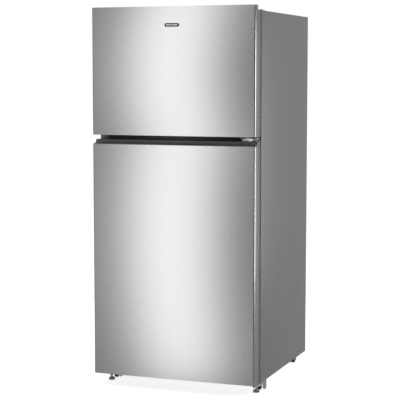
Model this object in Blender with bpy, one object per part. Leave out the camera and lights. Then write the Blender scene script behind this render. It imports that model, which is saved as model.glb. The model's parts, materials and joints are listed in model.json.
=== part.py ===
"""Top freezer refrigerator, 0.756 m wide, built from separate closed solids.

Metres, +Z up. X = 0 is the middle of the front, the front faces -Y, and z = 0 is the floor.
The doors hang on the right (+X) on three hinge brackets that share one vertical line.
"""
from math import cos, pi, radians, sin

import bmesh
import bpy
from mathutils import Matrix, Vector

# ---------------------------------------------------------------- driving sizes
WIDTH = 0.756
HALF = WIDTH / 2
FRONT = -0.4025            # plane of the door steel
REAR = 0.4035
CABINET_FRONT = -0.318
CABINET_BOTTOM = 0.049
CABINET_TOP = 1.665
DOOR_TOP = 1.685
DOOR_STEP_Y = -0.368       # behind this line the freezer door is lower, under the top hinge
DOOR_STEP_Z = 1.663
FREEZER_DOOR_BOTTOM = 1.128
FRIDGE_STEEL_TOP = 1.0875
FRIDGE_DOOR_TOP = 1.107
FRIDGE_DOOR_BOTTOM = 0.055

GAP = 0.0003               # between pieces that touch
SHEET = 0.0008             # steel sheet
PLASTIC = 0.002            # liner wall
FLANGE = 0.040             # front flange of the cabinet, which the gaskets close on
CORNER = 0.006             # vertical front edges of the doors

HINGE_X = 0.361
HINGE_Y = -0.350
PIN_RADIUS = 0.005
PIN_HOLE = 0.0056

STEEL_REAR = -0.3303       # rear face of a door's steel, where it is folded inwards
DOOR_REAR = -0.328         # flat rear face of a door liner
DYKE_Y = -0.283            # top of the raised rim inside a door
PANEL_Y = -0.345           # recessed panel inside a door
FLANGE_HALF = 0.374        # flat edge of a door liner
RIM = 0.030                # width of the raised rim
RIM_DRAFT = 0.004
WELL_HALF = 0.290
WELL_DRAFT = 0.002
BIN_Y = -0.222             # inner face of the door bins
BIN_HALF = 0.284
DAIRY_LOW = 0.705

LIP_FRONT = -0.3154        # front face of the liners' lips, behind the steel flange
LIP_HALF = 0.350
FOAM_FRONT = LIP_FRONT + PLASTIC + GAP
WRAPPER_REAR = 0.4020

FREEZER_HALF = 0.318
FREEZER_FLOOR = 1.160
FREEZER_CEILING = 1.610
FREEZER_BACK = 0.335
FRIDGE_HALF = 0.330
FRIDGE_FLOOR = 0.105
FRIDGE_CEILING = 1.050
FRIDGE_BACK = 0.345
HUMP_Y = 0.110             # the compressor hump at the rear of the fridge floor
HUMP_Z = 0.330
BAY_Y = 0.165              # the compressor bay behind and under the hump
BAY_Z = 0.275
BASE_Z = CABINET_BOTTOM

SHELF_HALF = 0.3265
SHELF_HEIGHTS = {"upper_shelf": 0.800, "lower_shelf": 0.560}
COVER_Z = 0.3325
SHELF_FRONT = -0.190
SHELF_REAR = 0.335
LEDGE = 0.008
FREEZER_SHELF_Z = 1.385

CRISPER_INNER = 0.004
CRISPER_OUTER = 0.296
CRISPER_FRONT = -0.180
CRISPER_REAR = 0.095
CRISPER_TOP = 0.318

FRONT_ROLLER = (0.346, -0.2295, 0.012)
REAR_ROLLER = (0.330, 0.350, 0.018)
FOOT = (0.348, -0.280)

FAN_CENTRE = (-0.040, 0.285, 0.137)
EVAPORATOR_FAN = (0.0, 0.283, 1.500)

# colour, roughness, metallic
PALETTE = {
    "stainless": ((0.56, 0.56, 0.56), 0.32, 1.0),
    "painted_grey": ((0.24, 0.24, 0.245), 0.45, 0.0),
    "zinc": ((0.72, 0.72, 0.72), 0.35, 1.0),
    "galvanised": ((0.50, 0.51, 0.52), 0.50, 1.0),
    "white_plastic": ((0.82, 0.83, 0.84), 0.40, 0.0),
    "dark_plastic": ((0.11, 0.11, 0.115), 0.50, 0.0),
    "black_plastic": ((0.02, 0.02, 0.02), 0.55, 0.0),
    "grey_plastic": ((0.40, 0.41, 0.42), 0.45, 0.0),
    "clear_plastic": ((0.80, 0.86, 0.90), 0.15, 0.0),
    "frosted_plastic": ((0.92, 0.93, 0.90), 0.35, 0.0),
    "glass": ((0.70, 0.84, 0.80), 0.05, 0.0),
    "foam": ((0.78, 0.68, 0.44), 0.95, 0.0),
    "rubber": ((0.06, 0.06, 0.065), 0.80, 0.0),
    "black_paint": ((0.015, 0.015, 0.016), 0.35, 0.0),
    "copper": ((0.70, 0.32, 0.18), 0.30, 1.0),
    "aluminium": ((0.70, 0.71, 0.72), 0.40, 1.0),
}


# ---------------------------------------------------------------- tools
def clear_scene():
    for item in list(bpy.data.objects):
        bpy.data.objects.remove(item, do_unlink=True)


def object_from(bm, name="tool"):
    """Link a bmesh as a new object, with its faces turned outwards."""
    bmesh.ops.recalc_face_normals(bm, faces=bm.faces)
    mesh = bpy.data.meshes.new(name)
    bm.to_mesh(mesh)
    bm.free()
    obj = bpy.data.objects.new(name, mesh)
    bpy.context.scene.collection.objects.link(obj)
    return obj


def at(axis, level, point):
    """A 2D point of an outline, lifted to 3D at `level` along the axis."""
    a, b = point
    return {"X": (level, a, b), "Y": (a, level, b), "Z": (a, b, level)}[axis]


def loft(loops, closed=False):
    """Bridge loops of equal length; the ends are capped, or joined when closed."""
    bm = bmesh.new()
    rows = [[bm.verts.new(p) for p in loop] for loop in loops]
    pairs = list(zip(rows, rows[1:]))
    if closed:
        pairs.append((rows[-1], rows[0]))
    else:
        bm.faces.new(rows[0])
        bm.faces.new(rows[-1])
    for near, far in pairs:
        count = len(near)
        for i in range(count):
            j = (i + 1) % count
            bm.faces.new((near[i], near[j], far[j], far[i]))
    return object_from(bm)


def prism(outline, axis, low, high):
    """An outline extruded along an axis."""
    return loft([[at(axis, level, p) for p in outline] for level in (low, high)])


def block(low, high, bevel=0.0, segments=2):
    """A box between two corners, with all its edges rounded when bevel is given."""
    bm = bmesh.new()
    bmesh.ops.create_cube(bm, size=1.0)
    size = Vector(high) - Vector(low)
    middle = (Vector(high) + Vector(low)) / 2
    bmesh.ops.transform(bm, matrix=Matrix.Diagonal((*size, 1.0)), verts=bm.verts)
    bmesh.ops.translate(bm, vec=middle, verts=bm.verts)
    if bevel:
        bmesh.ops.bevel(bm, geom=bm.edges[:], offset=bevel, segments=segments,
                        profile=0.5, affect="EDGES")
    return object_from(bm)


def slab(half, y0, y1, z0, z1, bevel=0.0):
    """A block that is symmetrical about x = 0."""
    return block((-half, y0, z0), (half, y1, z1), bevel)


def arc(centre, radius, start, end, steps):
    """Points along an arc, in degrees."""
    for i in range(steps + 1):
        angle = radians(start + (end - start) * i / steps)
        yield (centre[0] + radius * cos(angle), centre[1] + radius * sin(angle))


def circle(centre, radius, sides):
    return list(arc(centre, radius, 0, 360 - 360 / sides, sides - 1))


def rounded(outline, radius, steps=3):
    """The outline with each corner replaced by an arc-like curve of this reach."""
    points = []
    count = len(outline)
    for i in range(count):
        corner = Vector(outline[i])
        before = Vector(outline[i - 1])
        after = Vector(outline[(i + 1) % count])
        start = corner + (before - corner).normalized() * radius
        end = corner + (after - corner).normalized() * radius
        centre = start + end - corner
        for k in range(steps + 1):
            t = k / steps
            direction = (start - centre).lerp(end - centre, t).normalized()
            points.append(tuple(centre + direction * radius))
    return points


def rectangle(x0, x1, z0, z1, radius=0.0, steps=3):
    corners = [(x0, z0), (x1, z0), (x1, z1), (x0, z1)]
    return rounded(corners, radius, steps) if radius else corners


def rod(axis, centre, radius, low, high, sides=20):
    """A round bar along an axis; centre is the 2D point it passes through."""
    return prism(circle(centre, radius, sides), axis, low, high)


def turned(profile, centre, sides=24):
    """A profile of (radius, z) points turned about the vertical line through centre."""
    loops = []
    for radius, z in profile:
        loops.append([(x, y, z) for x, y in circle(centre, radius, sides)])
    return loft(loops)


def combine(target, tool, operation):
    """Apply one exact Boolean and remove the tool."""
    modifier = target.modifiers.new(operation.lower(), "BOOLEAN")
    modifier.operation = operation
    modifier.solver = "EXACT"
    modifier.object = tool
    bpy.context.view_layer.objects.active = target
    bpy.ops.object.modifier_apply(modifier=modifier.name)
    bpy.data.objects.remove(tool, do_unlink=True)


def unite(target, *tools):
    for tool in tools:
        combine(target, tool, "UNION")
    return target


def subtract(target, *tools):
    for tool in tools:
        combine(target, tool, "DIFFERENCE")
    return target


def gather(shapes):
    """Several separate shapes as one cutter."""
    first, *others = shapes
    bm = bmesh.new()
    for shape in shapes:
        bm.from_mesh(shape.data)
    bm.to_mesh(first.data)
    bm.free()
    for other in others:
        bpy.data.objects.remove(other, do_unlink=True)
    return first


def bevel_ends(obj, low, high, width):
    """Round the edges of the two end faces of an X prism."""
    bm = bmesh.new()
    bm.from_mesh(obj.data)
    ends = []
    for edge in bm.edges:
        xs = [v.co.x for v in edge.verts]
        if max(xs) - min(xs) < 1e-6 and (abs(xs[0] - low) < 1e-6 or abs(xs[0] - high) < 1e-6):
            ends.append(edge)
    bmesh.ops.bevel(bm, geom=ends, offset=width, segments=2, profile=0.5, affect="EDGES")
    bm.to_mesh(obj.data)
    bm.free()
    return obj


def mirrored(points):
    return [(-x, y) for x, y in reversed(points)]


def material_for(name, kind):
    colour, roughness, metallic = PALETTE[kind]
    material = bpy.data.materials.new(name)
    material.use_nodes = True
    shader = material.node_tree.nodes["Principled BSDF"]
    shader.inputs["Base Color"].default_value = (*colour, 1.0)
    shader.inputs["Roughness"].default_value = roughness
    shader.inputs["Metallic"].default_value = metallic
    return material


def finish(obj, name, kind, origin=(0.0, 0.0, 0.0), parent=None):
    """Name the piece, give it its material, and put its origin and parent in place."""
    obj.name = name
    obj.data.name = name
    obj.data.materials.clear()
    obj.data.materials.append(material_for(name, kind))
    obj.data.transform(Matrix.Translation(-Vector(origin)))
    obj.location = origin
    if parent:
        obj.parent = parent
        obj.location = Vector(origin) - anchor_of(parent)
    obj.data.shade_smooth()
    obj.data.set_sharp_from_angle(angle=radians(32))
    return obj


def anchor_of(obj):
    """Where an object stands in the world, before the scene has been evaluated."""
    place = obj.location.copy()
    while obj.parent:
        obj = obj.parent
        place += obj.location
    return place


def axis_empty(name, location, parent=None):
    empty = bpy.data.objects.new(name, None)
    empty.empty_display_size = 0.05
    bpy.context.scene.collection.objects.link(empty)
    empty.location = Vector(location) - (anchor_of(parent) if parent else Vector())
    empty.parent = parent
    return empty


# ---------------------------------------------------------------- cabinet
def cabinet_wrapper():
    fillet = 0.002
    outline = rectangle(-HALF, HALF, CABINET_BOTTOM - 0.05, CABINET_TOP, fillet, 2)
    shell = prism(outline, "Y", CABINET_FRONT, WRAPPER_REAR)
    inner_half = HALF - SHEET
    inner = rectangle(-inner_half, inner_half, -0.1, CABINET_TOP - SHEET, fillet - SHEET, 2)
    subtract(shell, prism(inner, "Y", CABINET_FRONT + SHEET, REAR + 0.02))
    mouth = HALF - FLANGE
    subtract(shell, slab(mouth, CABINET_FRONT - 0.01, CABINET_FRONT + 0.01,
                         -0.1, CABINET_TOP - FLANGE))
    subtract(shell, slab(HALF + 0.05, CABINET_FRONT - 0.05, REAR + 0.05, -0.2, CABINET_BOTTOM))
    finish(shell, "cabinet_wrapper", "painted_grey")


def back_panel():
    panel = slab(HALF, WRAPPER_REAR + GAP, WRAPPER_REAR + 0.0013, BAY_Z + 0.004, CABINET_TOP)
    for x in (-0.20, 0.20):
        rib = block((x - 0.02, WRAPPER_REAR + 0.0008, 0.34), (x + 0.02, REAR, 1.60))
        unite(panel, rib)
    finish(panel, "back_panel", "galvanised")


def base_pan():
    """Floor, front lip, compressor bay and platform in one folded sheet, seen from the side."""
    thick = 0.0015
    lip_y = CABINET_FRONT + SHEET + GAP
    end = 0.401
    top = BASE_Z + thick
    outline = [
        (lip_y, BASE_Z), (end, BASE_Z), (end, top), (BAY_Y + thick, top),
        (BAY_Y + thick, BAY_Z - thick), (end, BAY_Z - thick), (end, BAY_Z), (BAY_Y, BAY_Z),
        (BAY_Y, top), (lip_y + 0.0012, top), (lip_y + 0.0012, 0.090), (lip_y, 0.090),
    ]
    half = HALF - SHEET - 0.0004
    pan = prism(outline, "X", -half, half)
    roller_x, roller_y, roller_z = REAR_ROLLER
    for side in (-1, 1):
        cheeks = []
        for offset in (-0.013, 0.013):
            x = side * roller_x + offset
            cheeks.append(block((x - 0.001, roller_y - 0.014, roller_z - 0.008),
                                (x + 0.001, roller_y + 0.014, BASE_Z + 0.001)))
        axle = rod("X", (roller_y, roller_z), 0.003,
                   side * roller_x - 0.016, side * roller_x + 0.016, 12)
        unite(pan, *cheeks, axle)
    finish(pan, "base_pan", "galvanised")


def liner_profile(offset, front):
    """Side view of the fridge liner; offset 0 is the cavity itself."""
    floor = FRIDGE_FLOOR - offset
    back = FRIDGE_BACK + offset
    ceiling = FRIDGE_CEILING + offset
    hump_y = HUMP_Y + offset
    hump_z = HUMP_Z - offset
    return [(front, floor), (hump_y, floor), (hump_y, hump_z), (back, hump_z),
            (back, ceiling), (front, ceiling)]


def freezer_profile(offset, front):
    back = FREEZER_BACK + offset
    return [(front, FREEZER_FLOOR - offset), (back, FREEZER_FLOOR - offset),
            (back, FREEZER_CEILING + offset), (front, FREEZER_CEILING + offset)]


def liner(name, profile, half, lip_low, lip_high, ledges):
    """A moulded box with an open front, a lip round its mouth and ledges on its sides."""
    outer_half = half + PLASTIC
    body = prism(rounded(profile(PLASTIC, LIP_FRONT), 0.014), "X", -outer_half, outer_half)
    bevel_ends(body, -outer_half, outer_half, 0.010)
    # squares off the rounded mouth, and carries the lip
    unite(body, slab(LIP_HALF, LIP_FRONT, LIP_FRONT + PLASTIC, lip_low, lip_high))
    collar_low = profile(PLASTIC, LIP_FRONT)[0][1]
    collar_high = profile(PLASTIC, LIP_FRONT)[-1][1]
    unite(body, slab(outer_half, LIP_FRONT + 0.0005, LIP_FRONT + 0.03, collar_low, collar_high))
    inner = prism(rounded(profile(0.0, LIP_FRONT - 0.05), 0.012), "X", -half, half)
    subtract(body, bevel_ends(inner, -half, half, 0.008))
    for top, depth, y0, y1 in ledges:
        for side in (-1, 1):
            x0, x1 = sorted((side * (half - LEDGE), side * (half + 0.001)))
            unite(body, block((x0, y0, top - depth), (x1, y1, top)))
    finish(body, name, "white_plastic")


def liners():
    shelf_ledges = [(z, 0.014, -0.175, 0.325) for z in SHELF_HEIGHTS.values()]
    shelf_ledges.append((COVER_Z, 0.010, -0.175, 0.095))
    liner("fridge_liner", liner_profile, FRIDGE_HALF, 0.078, 1.073, shelf_ledges)
    liner("freezer_liner", freezer_profile, FREEZER_HALF, 1.137, 1.640,
          [(FREEZER_SHELF_Z, 0.012, -0.165, 0.245)])


def cabinet_foam():
    base = BASE_Z + 0.0018
    rear = 0.4015
    top = CABINET_TOP - SHEET - 0.0005
    outline = [(FOAM_FRONT, base), (BAY_Y - GAP, base), (BAY_Y - GAP, BAY_Z + GAP),
               (rear, BAY_Z + GAP), (rear, top), (FOAM_FRONT, top)]
    half = HALF - SHEET - 0.0005
    foam = prism(outline, "X", -half, half)
    clear = PLASTIC + GAP
    for profile, inner_half in ((liner_profile, FRIDGE_HALF), (freezer_profile, FREEZER_HALF)):
        room = inner_half + clear
        outline = rounded(profile(clear, FOAM_FRONT - 0.05), 0.014)
        subtract(foam, prism(outline, "X", -room, room))
    subtract(foam, slab(HALF - FLANGE, -0.33, -0.2895, 1.0845, 1.1255))
    finish(foam, "cabinet_foam", "foam")


def mullion_rail():
    """Steel strip between the compartments, with a hollow-backed rib at its middle."""
    front = CABINET_FRONT
    back = front + 0.0012
    outline = [(front, 1.060), (back, 1.060), (back, 1.085), (-0.290, 1.085),
               (-0.290, 1.125), (back, 1.125), (back, 1.155), (front, 1.155)]
    half = HALF - FLANGE - 0.0004
    finish(prism(outline, "X", -half, half), "mullion_rail", "black_paint")


# ---------------------------------------------------------------- hinges, rollers and feet
def screw_heads(obj, axis, places, radius, low, high):
    return unite(obj, *[rod(axis, place, radius, low, high, 12) for place in places])


def top_hinge():
    low = CABINET_TOP + GAP
    high = low + 0.003
    outline = [(0.300, -0.235), (0.300, -0.318), (0.340, -0.3645), (0.3625, -0.3645),
               (0.3668, -0.360), (0.3668, -0.235)]
    plate = prism(outline, "Z", low, high)
    unite(plate, rod("Z", (HINGE_X, HINGE_Y), PIN_RADIUS, 1.645, low + 0.001))
    screw_heads(plate, "Z", [(0.318, -0.250), (0.355, -0.250), (0.318, -0.295)],
                0.006, high - 0.001, high + 0.003)
    finish(plate, "top_hinge", "zinc")


def middle_hinge():
    low = 1.118
    high = 1.121
    outline = [(0.286, -0.319), (0.286, -0.335), (0.320, -0.346), (0.324, -0.3635),
               (0.363, -0.3635), (0.372, -0.354), (0.372, -0.319)]
    plate = prism(outline, "Z", low, high)
    flange_rear = CABINET_FRONT - GAP
    flange_front = flange_rear - 0.003
    unite(plate, block((0.286, flange_front, 1.096), (0.372, flange_rear, 1.127)))
    pin = rod("Z", (HINGE_X, HINGE_Y), PIN_RADIUS, 1.094, 1.141)
    collar = rod("Z", (HINGE_X, HINGE_Y), 0.0085, high - 0.001, FREEZER_DOOR_BOTTOM - GAP)
    unite(plate, pin, collar)
    screw_heads(plate, "Y", [(0.303, 1.107), (0.340, 1.107)], 0.0055,
                flange_front - 0.002, flange_front + 0.001)
    finish(plate, "middle_hinge", "zinc")


def front_bracket(name, side, carries_hinge):
    """Folded bracket under a front corner, which holds a roller's axle and a levelling foot."""
    low = BASE_Z - 0.0033
    high = BASE_Z - GAP
    front = -0.364 if carries_hinge else -0.302
    rear = -0.212
    inner = 0.3215
    outer = 0.3735 if carries_hinge else 0.3715
    if carries_hinge:
        corner = 0.012
        plate_outline = [(inner, rear), (inner, -0.325), (0.332, front), (outer - corner, front),
                         (outer, front + corner), (outer, rear)]
    else:
        plate_outline = [(inner, rear), (inner, front), (outer, front), (outer, rear)]
    plate_outline = [(side * x, y) for x, y in plate_outline]
    plate = prism(plate_outline, "Z", low, high)
    wall_front = front + 0.012 if carries_hinge else front
    outer_wall = [(wall_front, high), (wall_front, 0.037), (-0.262, 0.033), (-0.245, 0.006),
                  (-0.214, 0.006), (rear, high)]
    inner_wall = [(-0.300, high), (-0.300, 0.037), (-0.262, 0.033), (-0.245, 0.006),
                  (-0.214, 0.006), (rear, high)]
    for wall, x in ((outer_wall, outer), (inner_wall, inner + 0.0025)):
        x0, x1 = sorted((side * (x - 0.0025), side * x))
        unite(plate, prism(wall, "X", x0, x1))
    _, roller_y, roller_z = FRONT_ROLLER
    x0, x1 = sorted((side * (inner + 0.001), side * (outer - 0.001)))
    unite(plate, rod("X", (roller_y, roller_z), 0.0025, x0, x1, 12))
    subtract(plate, rod("Z", (side * FOOT[0], FOOT[1]), 0.0056, low - 0.01, high + 0.01))
    if carries_hinge:
        pin = rod("Z", (HINGE_X, HINGE_Y), PIN_RADIUS, low + 0.001, 0.070)
        collar = rod("Z", (HINGE_X, HINGE_Y), 0.0085, high - 0.001, FRIDGE_DOOR_BOTTOM - GAP)
        unite(plate, pin, collar)
    finish(plate, name, "zinc")


def roller(name, centre, radius, width, bore):
    """A small wheel with rounded rims, bored for its axle."""
    x, y, z = centre
    half = width / 2
    steps = [(-half, radius - 0.0015), (-half + 0.0015, radius),
             (half - 0.0015, radius), (half, radius - 0.0015)]
    loops = []
    for offset, reach in steps:
        loops.append([at("X", x + offset, p) for p in circle((y, z), reach, 28)])
    for offset in (half, -half):
        loops.append([at("X", x + offset, p) for p in circle((y, z), bore, 28)])
    finish(loft(loops, closed=True), name, "black_plastic", origin=centre)


def rollers():
    for side, word in ((-1, "left"), (1, "right")):
        x, y, z = FRONT_ROLLER
        roller(f"front_roller_{word}", (side * x, y, z), z, 0.016, 0.0030)
        x, y, z = REAR_ROLLER
        roller(f"rear_roller_{word}", (side * x, y, z), z, 0.020, 0.0035)


def levelling_feet():
    for side, word in ((-1, "left"), (1, "right")):
        place = (side * FOOT[0], FOOT[1])
        profile = [(0.009, 0.0), (0.0125, 0.0025), (0.014, 0.006), (0.014, 0.0105),
                   (0.0125, 0.012), (0.0045, 0.0125), (0.0045, BASE_Z - 0.0004)]
        foot = turned(profile, place, 24)
        finish(foot, f"levelling_foot_{word}", "grey_plastic", origin=(*place, 0.0))


# ---------------------------------------------------------------- doors
def door_skin_outline():
    """Closed plan outline of the folded sheet, rounded at both front corners."""
    outer = [(0.366, STEEL_REAR), (HALF, STEEL_REAR)]
    outer += list(arc((HALF - CORNER, FRONT + CORNER), CORNER, 0, -90, 4))
    outer += mirrored(outer)
    inner_half = HALF - SHEET
    reach = CORNER - SHEET
    inner = [(0.366, STEEL_REAR - SHEET), (inner_half, STEEL_REAR - SHEET)]
    inner += list(arc((HALF - CORNER, FRONT + CORNER), reach, 0, -90, 4))
    inner += mirrored(inner)
    return outer + inner[::-1]


def inside_outline(clearance=0.0004):
    """Plan outline of what fills a door inside its steel."""
    half = HALF - SHEET - clearance
    reach = CORNER - SHEET
    front = FRONT + SHEET + clearance
    rear = STEEL_REAR - SHEET - GAP
    right = [(half, rear)]
    right += list(arc((half - reach, front + reach), reach, 0, -90, 4))
    return right + mirrored(right)


def step_cutter(clearance):
    """Everything over the lower rear part of the freezer door."""
    bend = 0.006
    low = DOOR_STEP_Z - clearance
    front = DOOR_STEP_Y - clearance
    outline = [(front, DOOR_TOP + 0.02)]
    outline += list(arc((front + bend, low + bend), bend, 180, 270, 3))
    outline += [(-0.25, low), (-0.25, DOOR_TOP + 0.02)]
    return prism(outline, "X", -HALF - 0.02, HALF + 0.02)


def pin_hole(low, high):
    return rod("Z", (HINGE_X, HINGE_Y), PIN_HOLE, low, high)


def panel_loop(half, z0, z1, y, radius):
    return [(x, y, z) for x, z in rectangle(-half, half, z0, z1, radius)]


def rim_loops(dyke, inset):
    """The recessed middle and raised rim of a door liner, moved into the wall by an inset."""
    half, low, high = dyke
    well_low = low + RIM
    well_high = high - RIM
    dip = inset - WELL_DRAFT
    lean = RIM_DRAFT + inset
    return [
        panel_loop(WELL_HALF + dip, well_low - dip, well_high + dip, PANEL_Y - inset,
                   0.014 + inset),
        panel_loop(WELL_HALF + inset, well_low - inset, well_high + inset, DYKE_Y - inset,
                   0.016 + inset),
        panel_loop(half - lean, low + lean, high - lean, DYKE_Y - inset, 0.024 - inset),
        panel_loop(half - inset, low + inset, high - inset, DOOR_REAR - inset, 0.028 - inset),
    ]


def door_liner(name, parent, flange, dyke):
    """Moulded rear panel: flat flange, raised rim and recessed middle, all one thickness."""
    low, high = flange
    seen = rim_loops(dyke, 0.0)
    seen.append(panel_loop(FLANGE_HALF, low, high, DOOR_REAR, 0.003))
    hidden = rim_loops(dyke, PLASTIC)
    hidden.append(panel_loop(FLANGE_HALF, low, high, DOOR_REAR - PLASTIC, 0.003))
    finish(loft(seen + hidden[::-1]), name, "white_plastic", parent=parent)


def shifted(loop, dy):
    return [(x, y + dy, z) for x, y, z in loop]


def door_foam(name, parent, low, high, dyke):
    """Fills the door between its steel, its caps and the hollow of its liner."""
    body = prism(inside_outline(0.0006), "Z", low, high)
    panel, well, crest, foot = rim_loops(dyke, PLASTIC + 0.0005)
    unite(body, loft([shifted(foot, -0.004), foot, crest]))
    subtract(body, loft([panel, well, shifted(well, 0.02)]))
    finish(body, name, "foam", parent=parent)


def gasket(name, parent, low, high):
    """Magnetic seal: a closed ring with a rounded face towards the cabinet."""
    outer = HALF - 0.022
    width = 0.016
    rear = DOOR_REAR + GAP
    front = CABINET_FRONT - GAP
    middle = front - 0.003
    loops = []
    sections = ((0.0, rear), (0.0, middle), (0.004, front), (width - 0.004, front),
                (width, middle), (width, rear))
    for inset, y in sections:
        radius = 0.020 - inset
        loops.append(panel_loop(outer - inset, low + inset, high - inset, y, radius))
    finish(loft(loops, closed=True), name, "rubber", parent=parent)


def bin_tray(name, parent, half, low, high, wall=0.0025):
    """A clear door bin, open at the top, with a thicker rim along its front."""
    back = PANEL_Y + 0.0005
    tray = slab(half, back, BIN_Y, low, high, 0.004)
    subtract(tray, slab(half - wall, back + wall, BIN_Y - wall, low + wall, high + 0.05, 0.002))
    rim = slab(half - 0.006, BIN_Y - 0.006, BIN_Y - 0.001, high - 0.010, high - 0.002)
    unite(tray, rim)
    finish(tray, name, "clear_plastic", parent=parent)


def freezer_door(parent):
    skin = prism(door_skin_outline(), "Z", FREEZER_DOOR_BOTTOM, DOOR_TOP)
    subtract(skin, step_cutter(0.0))
    finish(skin, "freezer_door_skin", "stainless", parent=parent)

    top = prism(inside_outline(), "Z", 1.640, DOOR_TOP - 0.0015)
    subtract(top, step_cutter(0.0006), pin_hole(1.643, 1.70))
    finish(top, "freezer_top_cap", "dark_plastic", parent=parent)

    bottom = prism(inside_outline(), "Z", FREEZER_DOOR_BOTTOM + 0.0006, 1.150)
    grip = slab(0.300, -0.398, -0.368, FREEZER_DOOR_BOTTOM - 0.02, 1.144, 0.004)
    subtract(bottom, grip, pin_hole(1.10, 1.145))
    finish(bottom, "freezer_bottom_cap", "black_plastic", parent=parent)

    dyke = (FREEZER_HALF - 0.008, FREEZER_FLOOR + 0.006, FREEZER_CEILING - 0.008)
    door_liner("freezer_door_liner", parent, (1.131, 1.6605), dyke)
    door_foam("freezer_door_foam", parent, 1.1504, 1.6396, dyke)
    gasket("freezer_gasket", parent, 1.136, 1.645)
    bin_tray("freezer_bin_upper", parent, BIN_HALF, 1.430, 1.510)
    bin_tray("freezer_bin_lower", parent, BIN_HALF, 1.222, 1.312)

    outline = rectangle(-0.033, 0.033, 1.5975, 1.6125, 0.0045)
    badge = prism(outline, "Y", -0.4035, FRONT - GAP)
    finish(badge, "badge", "black_plastic", parent=parent)


def fridge_top_cap(parent):
    """Top of the fridge door: a plug inside the steel, and a head scooped for the fingers."""
    cap = prism(inside_outline(), "Z", 1.068, 1.092)
    rear = STEEL_REAR
    right = [(HALF, rear)]
    right += list(arc((HALF - CORNER, FRONT + CORNER), CORNER, 0, -90, 4))
    head = prism(right + mirrored(right), "Z", FRIDGE_STEEL_TOP + GAP, FRIDGE_DOOR_TOP)
    unite(cap, head)
    scoop = 0.019
    land = FRIDGE_DOOR_TOP - scoop + 0.0012
    centre = (-0.3855, land + scoop)
    outline = [(-0.45, land), (centre[0], land)]
    outline += list(arc(centre, scoop, -75, 0, 6))
    outline += [(centre[0] + scoop, 1.2), (-0.45, 1.2)]
    subtract(cap, prism(outline, "X", -HALF - 0.02, HALF + 0.02), pin_hole(1.090, 1.2))
    finish(cap, "fridge_top_cap", "dark_plastic", parent=parent)


def dairy(parent):
    """Covered box in the fridge door, and its lid, which lifts about its rear edge."""
    left, right = -BIN_HALF, -0.012
    back = PANEL_Y + 0.0005
    wall = 0.0025
    front = BIN_Y - 0.008
    box = block((left, back, DAIRY_LOW), (right, front, DAIRY_LOW + 0.075), 0.003)
    subtract(box, block((left + wall, back + wall, DAIRY_LOW + wall),
                        (right - wall, front - wall, DAIRY_LOW + 0.16)))
    finish(box, "dairy_box", "clear_plastic", parent=parent)

    top = DAIRY_LOW + 0.1395
    hem = DAIRY_LOW + 0.048
    bend = 0.012
    crown = (BIN_Y - bend, top - bend)
    pivot = (0.0, -0.339, top - 0.0035)
    lift = axis_empty("dairy_lid_axis", pivot, parent)
    rear = PANEL_Y + 0.0025
    outer = [(rear, top), (crown[0], top)]
    outer += list(arc(crown, bend, 75, 0, 4))
    outer += [(BIN_Y, hem)]
    inner = [(BIN_Y - wall, hem)]
    inner += list(arc(crown, bend - wall, 0, 75, 4))
    inner += [(crown[0], top - wall), (rear, top - wall)]
    lid = prism(outer + inner, "X", left + 0.001, right - 0.001)
    finish(lid, "dairy_lid", "frosted_plastic", origin=pivot, parent=lift)


def fridge_door(parent):
    skin = prism(door_skin_outline(), "Z", FRIDGE_DOOR_BOTTOM, FRIDGE_STEEL_TOP)
    finish(skin, "fridge_door_skin", "stainless", parent=parent)
    fridge_top_cap(parent)

    bottom = prism(inside_outline(), "Z", FRIDGE_DOOR_BOTTOM + 0.0006, 0.078)
    subtract(bottom, pin_hole(0.0, 0.072))
    finish(bottom, "fridge_bottom_cap", "black_plastic", parent=parent)

    dyke = (FRIDGE_HALF - 0.008, FRIDGE_FLOOR + 0.006, 0.998)
    door_liner("fridge_door_liner", parent, (0.058, 1.104), dyke)
    door_foam("fridge_door_foam", parent, 0.0784, 1.0676, dyke)
    gasket("fridge_gasket", parent, 0.066, 1.092)
    bin_tray("fridge_bin_upper", parent, BIN_HALF, 0.470, 0.565)
    bin_tray("fridge_bin_lower", parent, BIN_HALF, 0.148, 0.268)
    dairy(parent)


# ---------------------------------------------------------------- fridge interior
def shelves():
    for name, ledge_top in SHELF_HEIGHTS.items():
        low = ledge_top + GAP
        high = low + 0.016
        frame = slab(SHELF_HALF, SHELF_FRONT, SHELF_REAR, low, high, 0.002)
        subtract(frame, slab(SHELF_HALF - 0.024, SHELF_FRONT + 0.024, SHELF_REAR - 0.024,
                             low - 0.01, high + 0.01))
        seat = high - 0.0055
        subtract(frame, slab(SHELF_HALF - 0.012, SHELF_FRONT + 0.014, SHELF_REAR - 0.012,
                             seat, high + 0.01))
        finish(frame, f"{name}_frame", "white_plastic")
        pane = slab(SHELF_HALF - 0.0125, SHELF_FRONT + 0.0145, SHELF_REAR - 0.0125,
                    seat + GAP, seat + 0.0045)
        finish(pane, f"{name}_glass", "glass")
    cover = slab(SHELF_HALF, SHELF_FRONT + 0.008, SHELF_REAR, COVER_Z + GAP, COVER_Z + 0.0043)
    finish(cover, "crisper_cover", "glass")


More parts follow.
